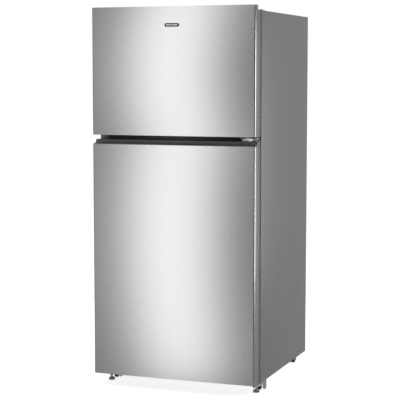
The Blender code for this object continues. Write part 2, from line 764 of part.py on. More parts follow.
def crispers():
    """Two drawers, each with a slot in its front for the tongue of a humidity slider."""
    wall = 0.0025
    low = FRIDGE_FLOOR + 0.0008
    for side, word in ((-1, "left"), (1, "right")):
        x0, x1 = sorted((side * CRISPER_INNER, side * CRISPER_OUTER))
        origin = ((x0 + x1) / 2, CRISPER_FRONT, low)
        drawer = block((x0, CRISPER_FRONT, low), (x1, CRISPER_REAR, CRISPER_TOP), 0.005)
        subtract(drawer, block((x0 + wall, CRISPER_FRONT + 0.004, low + wall),
                               (x1 - wall, CRISPER_REAR - wall, CRISPER_TOP + 0.05), 0.003))
        middle = origin[0]
        slot = block((middle - 0.045, CRISPER_FRONT - 0.01, 0.284),
                     (middle + 0.045, CRISPER_FRONT + 0.01, 0.292))
        subtract(drawer, slot)
        pull = block((middle - 0.10, CRISPER_FRONT - 0.004, 0.300),
                     (middle + 0.10, CRISPER_FRONT + 0.002, 0.310), 0.0015)
        unite(drawer, pull)
        finish(drawer, f"crisper_{word}", "clear_plastic", origin=origin)

        knob_x = middle - 0.030
        knob = block((knob_x - 0.012, CRISPER_FRONT - 0.0063, 0.280),
                     (knob_x + 0.012, CRISPER_FRONT - GAP, 0.296), 0.001)
        tongue = block((knob_x - 0.010, CRISPER_FRONT - 0.002, 0.2846),
                       (knob_x + 0.010, CRISPER_FRONT + 0.0035, 0.2914))
        unite(knob, tongue)
        finish(knob, f"humidity_slider_{word}", "grey_plastic",
               origin=(knob_x, CRISPER_FRONT, 0.288),
               parent=bpy.data.objects[f"crisper_{word}"])


def controls():
    """Housing under the fridge ceiling with the dial, the lamp cover and the door switch."""
    wall = 0.0025
    front, rear = -0.300, -0.020
    low, high = 1.004, FRIDGE_CEILING - GAP
    dial = (-0.085, 1.027)
    switch = (0.110, 1.027)
    housing = slab(0.200, front, rear, low, high, 0.002)
    subtract(housing, slab(0.200 - wall, front + wall, rear - wall, low + wall, high + 0.05))
    subtract(housing, rod("Y", dial, 0.0046, front - 0.01, front + 0.01),
             block((switch[0] - 0.0056, front - 0.01, switch[1] - 0.0056),
                   (switch[0] + 0.0056, front + 0.01, switch[1] + 0.0056)))
    finish(housing, "control_housing", "white_plastic")

    knob = rod("Y", dial, 0.018, front - 0.0105, front - GAP, 36)
    grip = block((dial[0] - 0.0025, front - 0.0145, dial[1] - 0.016),
                 (dial[0] + 0.0025, front - 0.009, dial[1] + 0.016), 0.001)
    unite(knob, grip, rod("Y", dial, 0.004, front - 0.001, front + 0.018))
    finish(knob, "temperature_dial", "grey_plastic", origin=(dial[0], front, dial[1]))

    plunger = block((switch[0] - 0.005, DOOR_REAR + GAP, switch[1] - 0.005),
                    (switch[0] + 0.005, front + 0.025, switch[1] + 0.005), 0.001)
    finish(plunger, "light_switch", "white_plastic",
           origin=(switch[0], DOOR_REAR + GAP, switch[1]))

    lens = block((-0.075, -0.20, 0.984), (0.075, -0.07, low - GAP), 0.005)
    finish(lens, "light_lens", "frosted_plastic")


# ---------------------------------------------------------------- freezer interior
def freezer_shelf():
    """Wire shelf: rods from front to rear between two stiffer bars, as one piece."""
    half = FREEZER_HALF - 0.0035
    front, rear = -0.180, 0.250
    low = FREEZER_SHELF_Z + GAP
    high = low + 0.006
    grid = slab(half, front, rear, low, high)
    pitch = 0.0242
    slots = []
    count = 25
    for i in range(count):
        x = (i - (count - 1) / 2) * pitch
        for y0, y1 in ((front + 0.008, 0.031), (0.039, rear - 0.008)):
            slots.append(block((x - 0.0098, y0, low - 0.01), (x + 0.0098, y1, high + 0.01)))
    subtract(grid, gather(slots))
    finish(grid, "freezer_shelf", "zinc")


def evaporator():
    """Finned coil: a back plate with upright fins, drawn as a comb in plan."""
    front, rear = 0.272, 0.326
    spine = 0.006
    fin = 0.0025
    pitch = 0.020
    count = 26
    half = (count - 1) * pitch / 2 + fin / 2
    outline = [(half, rear), (-half, rear)]
    for i in range(count):
        x = -half + i * pitch
        outline += [(x, front), (x + fin, front)]
        if i < count - 1:
            outline += [(x + fin, rear - spine), (x + pitch, rear - spine)]
    finish(prism(outline, "Z", 1.190, 1.385), "evaporator", "aluminium")


def evaporator_cover():
    """Panel in front of the evaporator, with return slots low down and a round fan grille."""
    outline = rectangle(-FREEZER_HALF + 0.001, FREEZER_HALF - 0.001,
                        FREEZER_FLOOR + 0.001, FREEZER_CEILING - 0.001, 0.016)
    panel = prism(outline, "Y", 0.2620, 0.2645)
    slots = []
    for i in range(14):
        x = (i - 6.5) * 0.036
        slots.append(block((x - 0.011, 0.25, 1.176), (x + 0.011, 0.28, 1.184)))
    fan_x, _, fan_z = EVAPORATOR_FAN
    for i in range(-3, 4):
        rise = i * 0.013
        reach = (0.048 ** 2 - rise ** 2) ** 0.5
        slots.append(block((fan_x - reach, 0.25, fan_z + rise - 0.004),
                           (fan_x + reach, 0.28, fan_z + rise + 0.004)))
    subtract(panel, gather(slots))
    finish(panel, "evaporator_cover", "white_plastic")


def fan(name, axis, centre, radius, depth, blades, shaft, kind):
    """A hub with pitched blades and a shaft; the axis is 'X' or 'Y'."""
    hub_radius = radius * 0.27
    turn = {"X": Matrix.Rotation(pi / 2, 4, "Y"), "Y": Matrix.Rotation(-pi / 2, 4, "X")}[axis]
    body = rod("Z", (0.0, 0.0), hub_radius, -depth / 2, depth / 2)
    for i in range(blades):
        blade = loft([
            [(hub_radius * 0.8, -0.0055, -0.0048), (hub_radius * 0.8, 0.0055, 0.0036),
             (hub_radius * 0.8, 0.0055, 0.0048), (hub_radius * 0.8, -0.0055, -0.0036)],
            [(radius * 0.96, -0.0165, -0.0056), (radius * 0.96, 0.0165, 0.0044),
             (radius * 0.96, 0.0165, 0.0056), (radius * 0.96, -0.0165, -0.0044)],
        ])
        blade.data.transform(Matrix.Rotation(2 * pi * i / blades, 4, "Z"))
        unite(body, blade)
    unite(body, rod("Z", (0.0, 0.0), 0.002, *sorted(shaft), 12))
    body.data.transform(Matrix.Translation(centre) @ turn)
    finish(body, name, kind, origin=centre)


def fans_and_motors():
    x, y, z = FAN_CENTRE
    fan("condenser_fan", "X", FAN_CENTRE, 0.064, 0.014, 5, (-0.0197, 0.0), "black_plastic")
    shroud = block((x + 0.016, 0.176, BASE_Z + 0.0018), (x + 0.019, 0.396, 0.228))
    subtract(shroud, rod("X", (y, z), 0.069, x, x + 0.04, 32))
    motor = rod("X", (y, z), 0.024, x - 0.052, x - 0.020)
    bar = block((x - 0.040, y - 0.079, z - 0.006), (x - 0.034, y + 0.079, z + 0.006))
    posts = []
    for reach in (-0.076, 0.076):
        posts.append(block((x - 0.040, y + reach - 0.003, z - 0.006),
                           (x + 0.017, y + reach + 0.003, z + 0.006)))
    unite(motor, bar, *posts, shroud)
    finish(motor, "condenser_fan_motor", "galvanised")

    x, y, z = EVAPORATOR_FAN
    fan("evaporator_fan", "Y", EVAPORATOR_FAN, 0.050, 0.012, 5, (-0.0127, 0.0), "white_plastic")
    motor = rod("Y", (x, z), 0.022, y + 0.013, y + 0.044)
    feet = block((x - 0.070, 0.3300, z - 0.010), (x + 0.070, 0.3345, z + 0.010))
    neck = rod("Y", (x, z), 0.012, y + 0.040, 0.332)
    unite(motor, feet, neck)
    finish(motor, "evaporator_fan_motor", "galvanised")


# ---------------------------------------------------------------- compressor bay
def compressor():
    centre = (-0.225, 0.285)
    base = BASE_Z + 0.0018
    profile = [(0.030, 0.062), (0.060, 0.066), (0.073, 0.085), (0.075, 0.110), (0.0765, 0.128),
               (0.0765, 0.134), (0.074, 0.140), (0.070, 0.185), (0.056, 0.212), (0.030, 0.221)]
    body = turned(profile, centre, 28)
    plate = block((centre[0] - 0.085, centre[1] - 0.070, 0.0595),
                  (centre[0] + 0.085, centre[1] + 0.070, 0.0635))
    unite(body, plate)
    for dx in (-0.072, 0.072):
        for dy in (-0.056, 0.056):
            unite(body, rod("Z", (centre[0] + dx, centre[1] + dy), 0.010, base, 0.0665, 12))
    relay = block((centre[0] + 0.060, centre[1] - 0.026, 0.105),
                  (centre[0] + 0.092, centre[1] + 0.026, 0.160), 0.003)
    stub = rod("Y", (centre[0] - 0.02, 0.155), 0.005, centre[1] - 0.095, centre[1] - 0.05, 12)
    unite(body, relay, stub)
    finish(body, "compressor", "black_paint")


def condenser():
    """One tube folded back and forth in upright banks."""
    radius = 0.0024
    banks = 4
    passes = 6
    x0, x1 = 0.020, 0.250
    pitch = 0.024
    bend_steps = 4
    points = []
    for bank in range(banks):
        y = 0.215 + bank * 0.048
        for step in range(passes):
            row = step if bank % 2 == 0 else passes - 1 - step
            z = 0.080 + row * pitch
            forward = (bank * passes + step) % 2 == 0
            start, end = (x0, x1) if forward else (x1, x0)
            points.append((start, y, z))
            points.append((end, y, z))
            out = 1 if forward else -1
            rise = pitch if bank % 2 == 0 else -pitch
            last = step == passes - 1
            if last and bank == banks - 1:
                continue
            for k in range(1, bend_steps):
                angle = pi * k / bend_steps
                reach = out * pitch / 2 * sin(angle)
                along = (1 - cos(angle)) / 2
                dy = 0.048 * along if last else 0.0
                dz = 0.0 if last else rise * along
                points.append((end + reach, y + dy, z + dz))
    curve = bpy.data.curves.new("condenser", "CURVE")
    curve.dimensions = "3D"
    curve.bevel_depth = radius
    curve.bevel_resolution = 1
    curve.use_fill_caps = True
    spline = curve.splines.new("POLY")
    spline.points.add(len(points) - 1)
    for target, point in zip(spline.points, points):
        target.co = (*point, 1.0)
    coil = bpy.data.objects.new("condenser", curve)
    bpy.context.scene.collection.objects.link(coil)
    curve.materials.append(material_for("condenser", "copper"))


def drip_pan():
    pan = block((-0.335, 0.180, 0.2225), (-0.115, 0.392, 0.262), 0.006)
    subtract(pan, block((-0.333, 0.182, 0.2245), (-0.117, 0.390, 0.30), 0.004))
    finish(pan, "drip_pan", "black_plastic")


def compressor_cover():
    low, high = 0.056, BAY_Z + 0.003
    panel = slab(HALF - 0.003, WRAPPER_REAR + GAP, REAR, low, high)
    slots = []
    for bank in (-0.22, 0.16):
        for i in range(9):
            z = 0.085 + i * 0.018
            slots.append(block((bank - 0.09, 0.39, z - 0.0035), (bank + 0.09, 0.42, z + 0.0035)))
    subtract(panel, gather(slots))
    finish(panel, "compressor_cover", "black_plastic")


# ---------------------------------------------------------------- assembly
def build():
    clear_scene()
    cabinet_wrapper()
    back_panel()
    base_pan()
    liners()
    cabinet_foam()
    mullion_rail()
    top_hinge()
    middle_hinge()
    front_bracket("bottom_hinge", 1, True)
    front_bracket("front_bracket_left", -1, False)
    rollers()
    levelling_feet()
    shelves()
    crispers()
    controls()
    freezer_shelf()
    evaporator()
    evaporator_cover()
    fans_and_motors()
    compressor()
    condenser()
    drip_pan()
    compressor_cover()
    freezer_door(axis_empty("freezer_door_axis", (HINGE_X, HINGE_Y, 1.4)))
    fridge_door(axis_empty("fridge_door_axis", (HINGE_X, HINGE_Y, 0.58)))


build()
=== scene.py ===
# %% [markdown]
# # A top freezer refrigerator
# The appliance stands on the floor with its doors to the front (-Y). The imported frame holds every
# solid at its true size, so each cell below only reads a place from it and then makes the piece
# that is seen there. Most pieces are either carried over from the frame with their edges eased, or
# built again with more shape. Each one gets a surface that is worked out by shader nodes.

# %% Load the frame
import json
from math import atan2, cos, pi, radians, sin

import bpy
from mathutils import Matrix, Vector

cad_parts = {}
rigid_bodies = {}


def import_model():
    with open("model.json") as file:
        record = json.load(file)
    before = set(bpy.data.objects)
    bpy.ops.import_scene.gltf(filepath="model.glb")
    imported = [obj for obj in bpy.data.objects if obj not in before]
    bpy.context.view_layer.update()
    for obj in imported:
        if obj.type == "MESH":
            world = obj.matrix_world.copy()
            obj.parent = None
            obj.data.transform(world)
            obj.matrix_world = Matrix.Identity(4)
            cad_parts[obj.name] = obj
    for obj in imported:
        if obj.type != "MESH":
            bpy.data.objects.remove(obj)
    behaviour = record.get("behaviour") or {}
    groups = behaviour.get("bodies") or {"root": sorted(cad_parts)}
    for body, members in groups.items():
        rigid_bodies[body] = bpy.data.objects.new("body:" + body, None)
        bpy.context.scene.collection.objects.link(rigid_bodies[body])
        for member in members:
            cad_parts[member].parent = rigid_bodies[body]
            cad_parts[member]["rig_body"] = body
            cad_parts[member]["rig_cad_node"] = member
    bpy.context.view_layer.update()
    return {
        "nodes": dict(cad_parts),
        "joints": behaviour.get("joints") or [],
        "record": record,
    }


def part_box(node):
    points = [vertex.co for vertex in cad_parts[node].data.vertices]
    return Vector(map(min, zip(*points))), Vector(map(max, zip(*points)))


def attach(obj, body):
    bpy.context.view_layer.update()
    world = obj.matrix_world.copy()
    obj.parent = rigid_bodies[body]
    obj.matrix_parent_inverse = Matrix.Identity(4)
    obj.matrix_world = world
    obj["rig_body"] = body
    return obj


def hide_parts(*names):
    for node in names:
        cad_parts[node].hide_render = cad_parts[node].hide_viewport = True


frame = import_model()
nodes = frame["nodes"]
print("nodes in the frame:", len(nodes))

# %% [markdown]
# ## Camera and studio
# A tall object is looked at from about eye height with a long lens, which keeps its sides nearly
# parallel. Steel shows what it mirrors, so the main light is a tall soft box standing to the front
# left, with a wider and fainter one close behind it. Together they draw one upright band on the
# doors that fades at both sides. A third box lights the cabinet's side and a fourth its top.

# %% Camera
bpy.ops.object.select_all(action="DESELECT")
camera_place = (2.0706, -5.6006, 1.3930)
degrees_down = 5.5465
degrees_left = 20.4785
bpy.ops.object.camera_add(location=camera_place)
camera = bpy.context.object
camera.rotation_euler = (radians(90 - degrees_down), 0.0, radians(degrees_left))
camera.data.lens = 116.32
camera.data.sensor_width = 36.0
bpy.context.scene.camera = camera
bpy.context.scene.view_settings.view_transform = "Standard"
print("camera lens", round(camera.data.lens, 1), "mm")


# %% Lights
def soft_box(name, place, target, width, height, watts):
    """A rectangular area light, upright, aimed at a point."""
    bpy.ops.object.light_add(type="AREA", location=place)
    lamp = bpy.context.object
    lamp.name = name
    lamp.data.shape = "RECTANGLE"
    lamp.data.size = width
    lamp.data.size_y = height
    lamp.data.energy = watts
    aim = Vector(target) - Vector(place)
    lamp.rotation_euler = aim.to_track_quat("-Z", "Y").to_euler()


soft_box("band_light", (-1.86, -5.05, 0.9), (0.0, -0.4, 0.9), 1.05, 9.0, 17)
soft_box("band_halo", (-1.90, -5.15, 0.9), (0.0, -0.4, 0.9), 1.95, 9.0, 60)
soft_box("side_light", (4.4, 2.2, 0.9), (0.4, 0.1, 0.6), 3.3, 3.0, 112)
soft_box("top_light", (0.0, -0.6, 4.6), (0.0, 0.0, 0.0), 3.0, 3.0, 60)

# %% [markdown]
# The room is white where the camera looks straight at it. In reflections it is a mid grey, with a
# darker wall behind the camera, because a polished edge needs something dark to mirror or it
# disappears. The dark wall fades in and out over a wide angle, so nothing shows its border.

# %% The room
room = bpy.context.scene.world or bpy.data.worlds.new("room")
bpy.context.scene.world = room
room.use_nodes = True
room_nodes = room.node_tree.nodes
room_link = room.node_tree.links.new
room_nodes.clear()
room_out = room_nodes.new("ShaderNodeOutputWorld")
seen = room_nodes.new("ShaderNodeBackground")
seen.inputs["Color"].default_value = (1.0, 1.0, 1.0, 1.0)
mirrored = room_nodes.new("ShaderNodeBackground")
direction = room_nodes.new("ShaderNodeTexCoord")
towards = room_nodes.new("ShaderNodeVectorMath")
towards.operation = "DOT_PRODUCT"
towards.inputs[1].default_value = (0.5, -0.866, 0.0)
wall = room_nodes.new("ShaderNodeMapRange")
wall.inputs["From Min"].default_value = 0.72
wall.inputs["From Max"].default_value = 0.95
wall.inputs["To Min"].default_value = 0.25
wall.inputs["To Max"].default_value = 0.06
ray = room_nodes.new("ShaderNodeLightPath")
choose_ray = room_nodes.new("ShaderNodeMixShader")
room_link(direction.outputs["Generated"], towards.inputs[0])
room_link(towards.outputs["Value"], wall.inputs["Value"])
room_link(wall.outputs["Result"], mirrored.inputs["Color"])
room_link(ray.outputs["Is Camera Ray"], choose_ray.inputs["Fac"])
room_link(mirrored.outputs["Background"], choose_ray.inputs[1])
room_link(seen.outputs["Background"], choose_ray.inputs[2])
room_link(choose_ray.outputs["Shader"], room_out.inputs["Surface"])
print("studio ready")

# %% [markdown]
# ## Floor
# A pale, matt sheet that reaches far past the view, so no edge of it is seen. It glows a little, so
# that it is as light as the room behind it. Reflections leave it out, so steel shows no horizon.

# %% Floor
bpy.ops.mesh.primitive_plane_add(size=60.0, location=(0.0, 0.0, -0.0005))
floor = bpy.context.object
floor.name = "studio_floor"
floor_paint = bpy.data.materials.new("studio_floor")
floor_paint.use_nodes = True
floor_shader = floor_paint.node_tree.nodes["Principled BSDF"]
floor_shader.inputs["Base Color"].default_value = (0.92, 0.92, 0.92, 1.0)
floor_shader.inputs["Roughness"].default_value = 0.9
floor.data.materials.append(floor_paint)
floor_shader.inputs["Emission Color"].default_value = (1.0, 1.0, 1.0, 1.0)
floor_shader.inputs["Emission Strength"].default_value = 0.80
floor.visible_glossy = False
floor.visible_diffuse = False
floor.visible_shadow = False
print("floor ready")

# %% [markdown]
# ## Shader groups
# A real surface is never one even value. Four small node groups are shared by all the finishes:
# one for streaks and mottling in rolled steel, one for the pebbled skin of paint and moulded
# plastic, one for wear on edges, and one for the dust that settles on faces that look upwards.
# Their noise reads Object coordinates, which are metres here, so the scales are real sizes.


# %% Helpers for the groups
def begin_group(name, inputs, outputs):
    """A new group with number sockets, and the two nodes that stand for its sockets."""
    tree = bpy.data.node_groups.new(name, "ShaderNodeTree")
    for label, value in inputs.items():
        socket = tree.interface.new_socket(label, in_out="INPUT", socket_type="NodeSocketFloat")
        socket.default_value = value
    for label in outputs:
        tree.interface.new_socket(label, in_out="OUTPUT", socket_type="NodeSocketFloat")
    return tree, tree.nodes.new("NodeGroupInput"), tree.nodes.new("NodeGroupOutput")


def maths(tree, operation, first, second, clamp=False):
    """A Math node; each input is a number or a socket."""
    node = tree.nodes.new("ShaderNodeMath")
    node.operation = operation
    node.use_clamp = clamp
    for slot, value in enumerate((first, second)):
        if isinstance(value, (int, float)):
            node.inputs[slot].default_value = value
        else:
            tree.links.new(value, node.inputs[slot])
    return node.outputs[0]


def stretched_noise(tree, stretch, scale, detail=3.0):
    """Noise on Object coordinates; stretch multiplies each axis before the noise is read."""
    place = tree.nodes.new("ShaderNodeTexCoord")
    spread = tree.nodes.new("ShaderNodeMapping")
    spread.inputs["Scale"].default_value = stretch
    noise = tree.nodes.new("ShaderNodeTexNoise")
    noise.inputs["Detail"].default_value = detail
    tree.links.new(place.outputs["Object"], spread.inputs["Vector"])
    tree.links.new(spread.outputs["Vector"], noise.inputs["Vector"])
    if isinstance(scale, (int, float)):
        noise.inputs["Scale"].default_value = scale
    else:
        tree.links.new(scale, noise.inputs["Scale"])
    return noise.outputs["Fac"]


# %% Streaks and mottling in rolled steel
steel_grain, grain_in, grain_out = begin_group(
    "steel_grain", {"Streaks": 0.5, "Mottling": 0.5}, ["Value"])
streaks = stretched_noise(steel_grain, (26.0, 26.0, 900.0), 1.0, 2.0)
blotches = stretched_noise(steel_grain, (1.0, 1.0, 1.6), 150.0, 3.0)
streak_part = maths(steel_grain, "MULTIPLY", maths(steel_grain, "SUBTRACT", streaks, 0.5),
                    grain_in.outputs["Streaks"])
blotch_part = maths(steel_grain, "MULTIPLY", maths(steel_grain, "SUBTRACT", blotches, 0.5),
                    grain_in.outputs["Mottling"])
grain_sum = maths(steel_grain, "ADD", streak_part, blotch_part)
steel_grain.links.new(grain_sum, grain_out.inputs["Value"])

# %% Pebbled skin
pebble, pebble_in, pebble_out = begin_group("pebble", {"Size mm": 1.0}, ["Height", "Tone"])
per_metre = maths(pebble, "DIVIDE", 620.0, pebble_in.outputs["Size mm"])
bumps = stretched_noise(pebble, (1.0, 1.0, 1.0), per_metre, 2.0)
clouds = stretched_noise(pebble, (1.0, 1.0, 1.0), 3.5, 3.0)
pebble.links.new(bumps, pebble_out.inputs["Height"])
pebble.links.new(clouds, pebble_out.inputs["Tone"])

# %% Edge wear
edge_wear, wear_in, wear_out = begin_group("edge_wear", {"Amount": 0.5}, ["Mask"])
shape_of = edge_wear.nodes.new("ShaderNodeNewGeometry")
over_flat = maths(edge_wear, "SUBTRACT", shape_of.outputs["Pointiness"], 0.505)
sharp = maths(edge_wear, "MULTIPLY", over_flat, 14.0, clamp=True)
broken = stretched_noise(edge_wear, (1.0, 1.0, 1.0), 160.0, 4.0)
worn = maths(edge_wear, "MULTIPLY", sharp, broken)
worn = maths(edge_wear, "MULTIPLY", worn, wear_in.outputs["Amount"], clamp=True)
edge_wear.links.new(worn, wear_out.inputs["Mask"])

# %% Settled dust
dust, dust_in, dust_out = begin_group("dust", {"Amount": 0.3}, ["Mask"])
faces_of = dust.nodes.new("ShaderNodeNewGeometry")
apart = dust.nodes.new("ShaderNodeSeparateXYZ")
dust.links.new(faces_of.outputs["Normal"], apart.inputs["Vector"])
upwards = maths(dust, "POWER", maths(dust, "MAXIMUM", apart.outputs["Z"], 0.0), 3.0)
patches = stretched_noise(dust, (1.0, 1.0, 1.0), 22.0, 5.0)
settled = maths(dust, "MULTIPLY", maths(dust, "MULTIPLY", upwards, patches),
                dust_in.outputs["Amount"], clamp=True)
dust.links.new(settled, dust_out.inputs["Mask"])
print("shader groups:", len(bpy.data.node_groups))

# %% [markdown]
# ## Finishes
# Each finish is one material with its own Principled shader. The groups change its colour, its
# roughness and its bump a little over the surface. Values that are the same all over, such as the
# index of refraction of glass, are set on the shader itself.


# %% How a finish is mixed
def place_group(material, tree, **values):
    """A shared group placed in a material; an underscore stands for a space in a socket's name."""
    node = material.node_tree.nodes.new("ShaderNodeGroup")
    node.node_tree = tree
    for label, value in values.items():
        node.inputs[label.replace("_", " ")].default_value = value
    return node


def mixed(material, mask, first, second):
    """One colour passing to another where the mask is high."""
    mix = material.node_tree.nodes.new("ShaderNodeMix")
    mix.data_type = "RGBA"
    for socket, value in ((mix.inputs[6], first), (mix.inputs[7], second)):
        if isinstance(value, tuple):
            socket.default_value = (*value, 1.0)
        else:
            material.node_tree.links.new(value, socket)
    material.node_tree.links.new(mask, mix.inputs[0])
    return mix.outputs[2]


def ranged(material, value, low, high, from_low=0.3, from_high=0.7):
    """A value spread over a new range."""
    node = material.node_tree.nodes.new("ShaderNodeMapRange")
    node.inputs["From Min"].default_value = from_low
    node.inputs["From Max"].default_value = from_high
    node.inputs["To Min"].default_value = low
    node.inputs["To Max"].default_value = high
    material.node_tree.links.new(value, node.inputs["Value"])
    return node.outputs["Result"]


def bumped(material, height, depth):
    """Height to a normal; depth is in metres."""
    bump = material.node_tree.nodes.new("ShaderNodeBump")
    bump.inputs["Strength"].default_value = 0.6
    bump.inputs["Distance"].default_value = depth
    material.node_tree.links.new(height, bump.inputs["Height"])
    return bump.outputs["Normal"]


def begin_finish(name):
    material = bpy.data.materials.new(name)
    material.use_nodes = True
    return material, material.node_tree.nodes["Principled BSDF"], material.node_tree.links.new


# %% Steel, plated metal and copper
GRAIN_SPAN = 0.25  # how far from zero the grain's value goes


def metal_finish(name, dark, light, rough, streaks, mottling, depth=0.00002, dust_amount=0.1):
    """Bare metal: grain in its colour and roughness, a faint bump, and dust on top."""
    material, shader, link = begin_finish(name)
    grain = place_group(material, steel_grain, Streaks=streaks, Mottling=mottling)
    tone = ranged(material, grain.outputs["Value"], 0.0, 1.0, -GRAIN_SPAN, GRAIN_SPAN)
    colour = mixed(material, tone, dark, light)
    settled = place_group(material, dust, Amount=dust_amount)
    colour = mixed(material, settled.outputs["Mask"], colour, (0.55, 0.54, 0.52))
    link(colour, shader.inputs["Base Color"])
    link(ranged(material, grain.outputs["Value"], rough[0], rough[1], -GRAIN_SPAN, GRAIN_SPAN),
         shader.inputs["Roughness"])
    link(bumped(material, grain.outputs["Value"], depth), shader.inputs["Normal"])
    shader.inputs["Metallic"].default_value = 1.0
    return material


stainless = metal_finish("stainless", (0.575, 0.575, 0.575), (0.645, 0.645, 0.645),
                         (0.26, 0.29), 0.12, 0.12, depth=0.000003, dust_amount=0.03)
zinc = metal_finish("zinc", (0.62, 0.62, 0.60), (0.84, 0.84, 0.84), (0.22, 0.38), 0.1, 1.0)
galvanised = metal_finish("galvanised", (0.38, 0.39, 0.40), (0.52, 0.53, 0.54), (0.45, 0.60),
                          0.1, 1.0, dust_amount=0.4)
aluminium = metal_finish("aluminium", (0.66, 0.67, 0.68), (0.80, 0.81, 0.82), (0.3, 0.45),
                         0.3, 0.6)
copper = metal_finish("copper", (0.55, 0.24, 0.13), (0.78, 0.40, 0.25), (0.25, 0.42), 0.1, 1.0,
                      dust_amount=0.3)


# %% Paint, plastic and rubber
def skin_finish(name, colour, shade, rough, size_mm, depth, wear=0.0, worn_to=None,
                dust_amount=0.1, coat=0.0):
    """A coloured skin with pebbles of one size, cloudy tone, dust and worn edges."""
    material, shader, link = begin_finish(name)
    skin = place_group(material, pebble, Size_mm=size_mm)
    paint = mixed(material, ranged(material, skin.outputs["Tone"], 0.0, 1.0), shade, colour)
    if wear:
        rubbed = place_group(material, edge_wear, Amount=wear)
        paint = mixed(material, rubbed.outputs["Mask"], paint, worn_to)
    settled = place_group(material, dust, Amount=dust_amount)
    paint = mixed(material, settled.outputs["Mask"], paint, (0.50, 0.49, 0.47))
    link(paint, shader.inputs["Base Color"])
    link(ranged(material, skin.outputs["Height"], rough - 0.06, rough + 0.06),
         shader.inputs["Roughness"])
    link(bumped(material, skin.outputs["Height"], depth), shader.inputs["Normal"])
    shader.inputs["Coat Weight"].default_value = coat
    return material


cabinet_paint = skin_finish("cabinet_paint", (0.235, 0.235, 0.237), (0.220, 0.220, 0.222), 0.42,
                            1.6, 0.00012, wear=0.5, worn_to=(0.34, 0.34, 0.34))
liner_white = skin_finish("liner_white", (0.84, 0.85, 0.855), (0.80, 0.81, 0.82), 0.30,
                          0.9, 0.00002)
trim_white = skin_finish("trim_white", (0.80, 0.81, 0.82), (0.76, 0.77, 0.78), 0.36,
                         0.7, 0.00003, wear=0.3, worn_to=(0.88, 0.88, 0.88))
grip_grey = skin_finish("grip_grey", (0.240, 0.240, 0.243), (0.200, 0.200, 0.203), 0.40,
                        0.8, 0.00005, wear=0.4, worn_to=(0.34, 0.34, 0.34))
trim_black = skin_finish("trim_black", (0.022, 0.022, 0.022), (0.014, 0.014, 0.014), 0.50,
                         0.8, 0.00005, wear=0.5, worn_to=(0.08, 0.08, 0.08), dust_amount=0.2)
knob_grey = skin_finish("knob_grey", (0.36, 0.37, 0.38), (0.31, 0.32, 0.33), 0.42,
                        0.6, 0.00004, wear=0.5, worn_to=(0.55, 0.55, 0.55))
gasket_grey = skin_finish("gasket_grey", (0.075, 0.075, 0.078), (0.055, 0.055, 0.058), 0.62,
                          0.5, 0.00003)
pump_black = skin_finish("pump_black", (0.012, 0.012, 0.013), (0.02, 0.02, 0.02), 0.28,
                         2.5, 0.00008, dust_amount=0.5, coat=0.3)
# The mullion rail's near-black is partly its own dark cover and partly painted shade: it also
# stands for the shadow in the gap between the doors.
rail_dark_and_painted_shade = skin_finish("rail_dark_and_painted_shade", (0.018, 0.018, 0.018), (0.012, 0.012, 0.012), 0.35,
                         0.6, 0.00002)
foam_buff = skin_finish("foam_buff", (0.72, 0.62, 0.38), (0.60, 0.50, 0.28), 0.90,
                        1.2, 0.0004)


# %% Clear and frosted pieces
def clear_finish(name, tint, shade, rough, ior, clearness):
    """Clear plastic or glass: a slight cloud in its tint, and a roughness that is never zero."""
    material, shader, link = begin_finish(name)
    skin = place_group(material, pebble, Size_mm=3.0)
    cloud = ranged(material, skin.outputs["Tone"], 0.0, 1.0)
    link(mixed(material, cloud, shade, tint), shader.inputs["Base Color"])
    link(ranged(material, skin.outputs["Height"], rough, rough + 0.03), shader.inputs["Roughness"])
    shader.inputs["IOR"].default_value = ior
    shader.inputs["Transmission Weight"].default_value = clearness
    return material


clear_bin = clear_finish("clear_bin", (0.93, 0.96, 0.98), (0.90, 0.94, 0.96), 0.05, 1.49, 0.9)
shelf_glass = clear_finish("shelf_glass", (0.88, 0.97, 0.94), (0.85, 0.96, 0.92), 0.01, 1.52, 0.95)
frosted = clear_finish("frosted", (0.95, 0.95, 0.93), (0.92, 0.92, 0.90), 0.35, 1.49, 0.45)
print("finishes:", len(bpy.data.materials) - 1)

# %% [markdown]
# ## Tools for modelling
# Every operator works on what is selected, so each helper first deselects all. Faces and edges are
# chosen by where they are and which way they point, as a person would click them. A finished piece
# is applied, so that its place is in its mesh, and then it is told which body it moves with.


# %% Selecting and applying
WELD = 0.00001  # metres; points closer than this are one


def choose(obj):
    """Makes obj the only selected object, and the active one."""
    bpy.ops.object.select_all(action="DESELECT")
    obj.select_set(True)
    bpy.context.view_layer.objects.active = obj


def edit_mode():
    bpy.ops.object.mode_set(mode="EDIT")


def object_mode():
    bpy.ops.object.mode_set(mode="OBJECT")


def pick_faces(obj, test):
    """Leaves obj in edit mode with only those faces selected whose centre and normal pass."""
    edit_mode()
    bpy.ops.mesh.select_mode(type="FACE")
    bpy.ops.mesh.select_all(action="DESELECT")
    object_mode()
    for face in obj.data.polygons:
        face.select = bool(test(face.center, face.normal))
    edit_mode()


def pick_edges(obj, test):
    """Leaves obj in edit mode with only those edges selected whose two ends pass."""
    edit_mode()
    bpy.ops.mesh.select_mode(type="EDGE")
    bpy.ops.mesh.select_all(action="DESELECT")
    object_mode()
    points = obj.data.vertices
    for edge in obj.data.edges:
        first, second = (points[i].co for i in edge.vertices)
        edge.select = bool(test(first, second))
    edit_mode()


def apply_modifier(obj, kind, **settings):
    choose(obj)
    modifier = obj.modifiers.new(kind.lower(), kind)
    for label, value in settings.items():
        setattr(modifier, label, value)
    bpy.ops.object.modifier_apply(modifier=modifier.name)


def soften(obj, width, segments=2, sharp=35.0):
    """Rounds the sharp edges and shades the rest smooth."""
    apply_modifier(obj, "BEVEL", width=width, segments=segments, limit_method="ANGLE",
                   angle_limit=radians(sharp), use_clamp_overlap=True)
    bpy.ops.object.shade_smooth_by_angle(angle=radians(40))


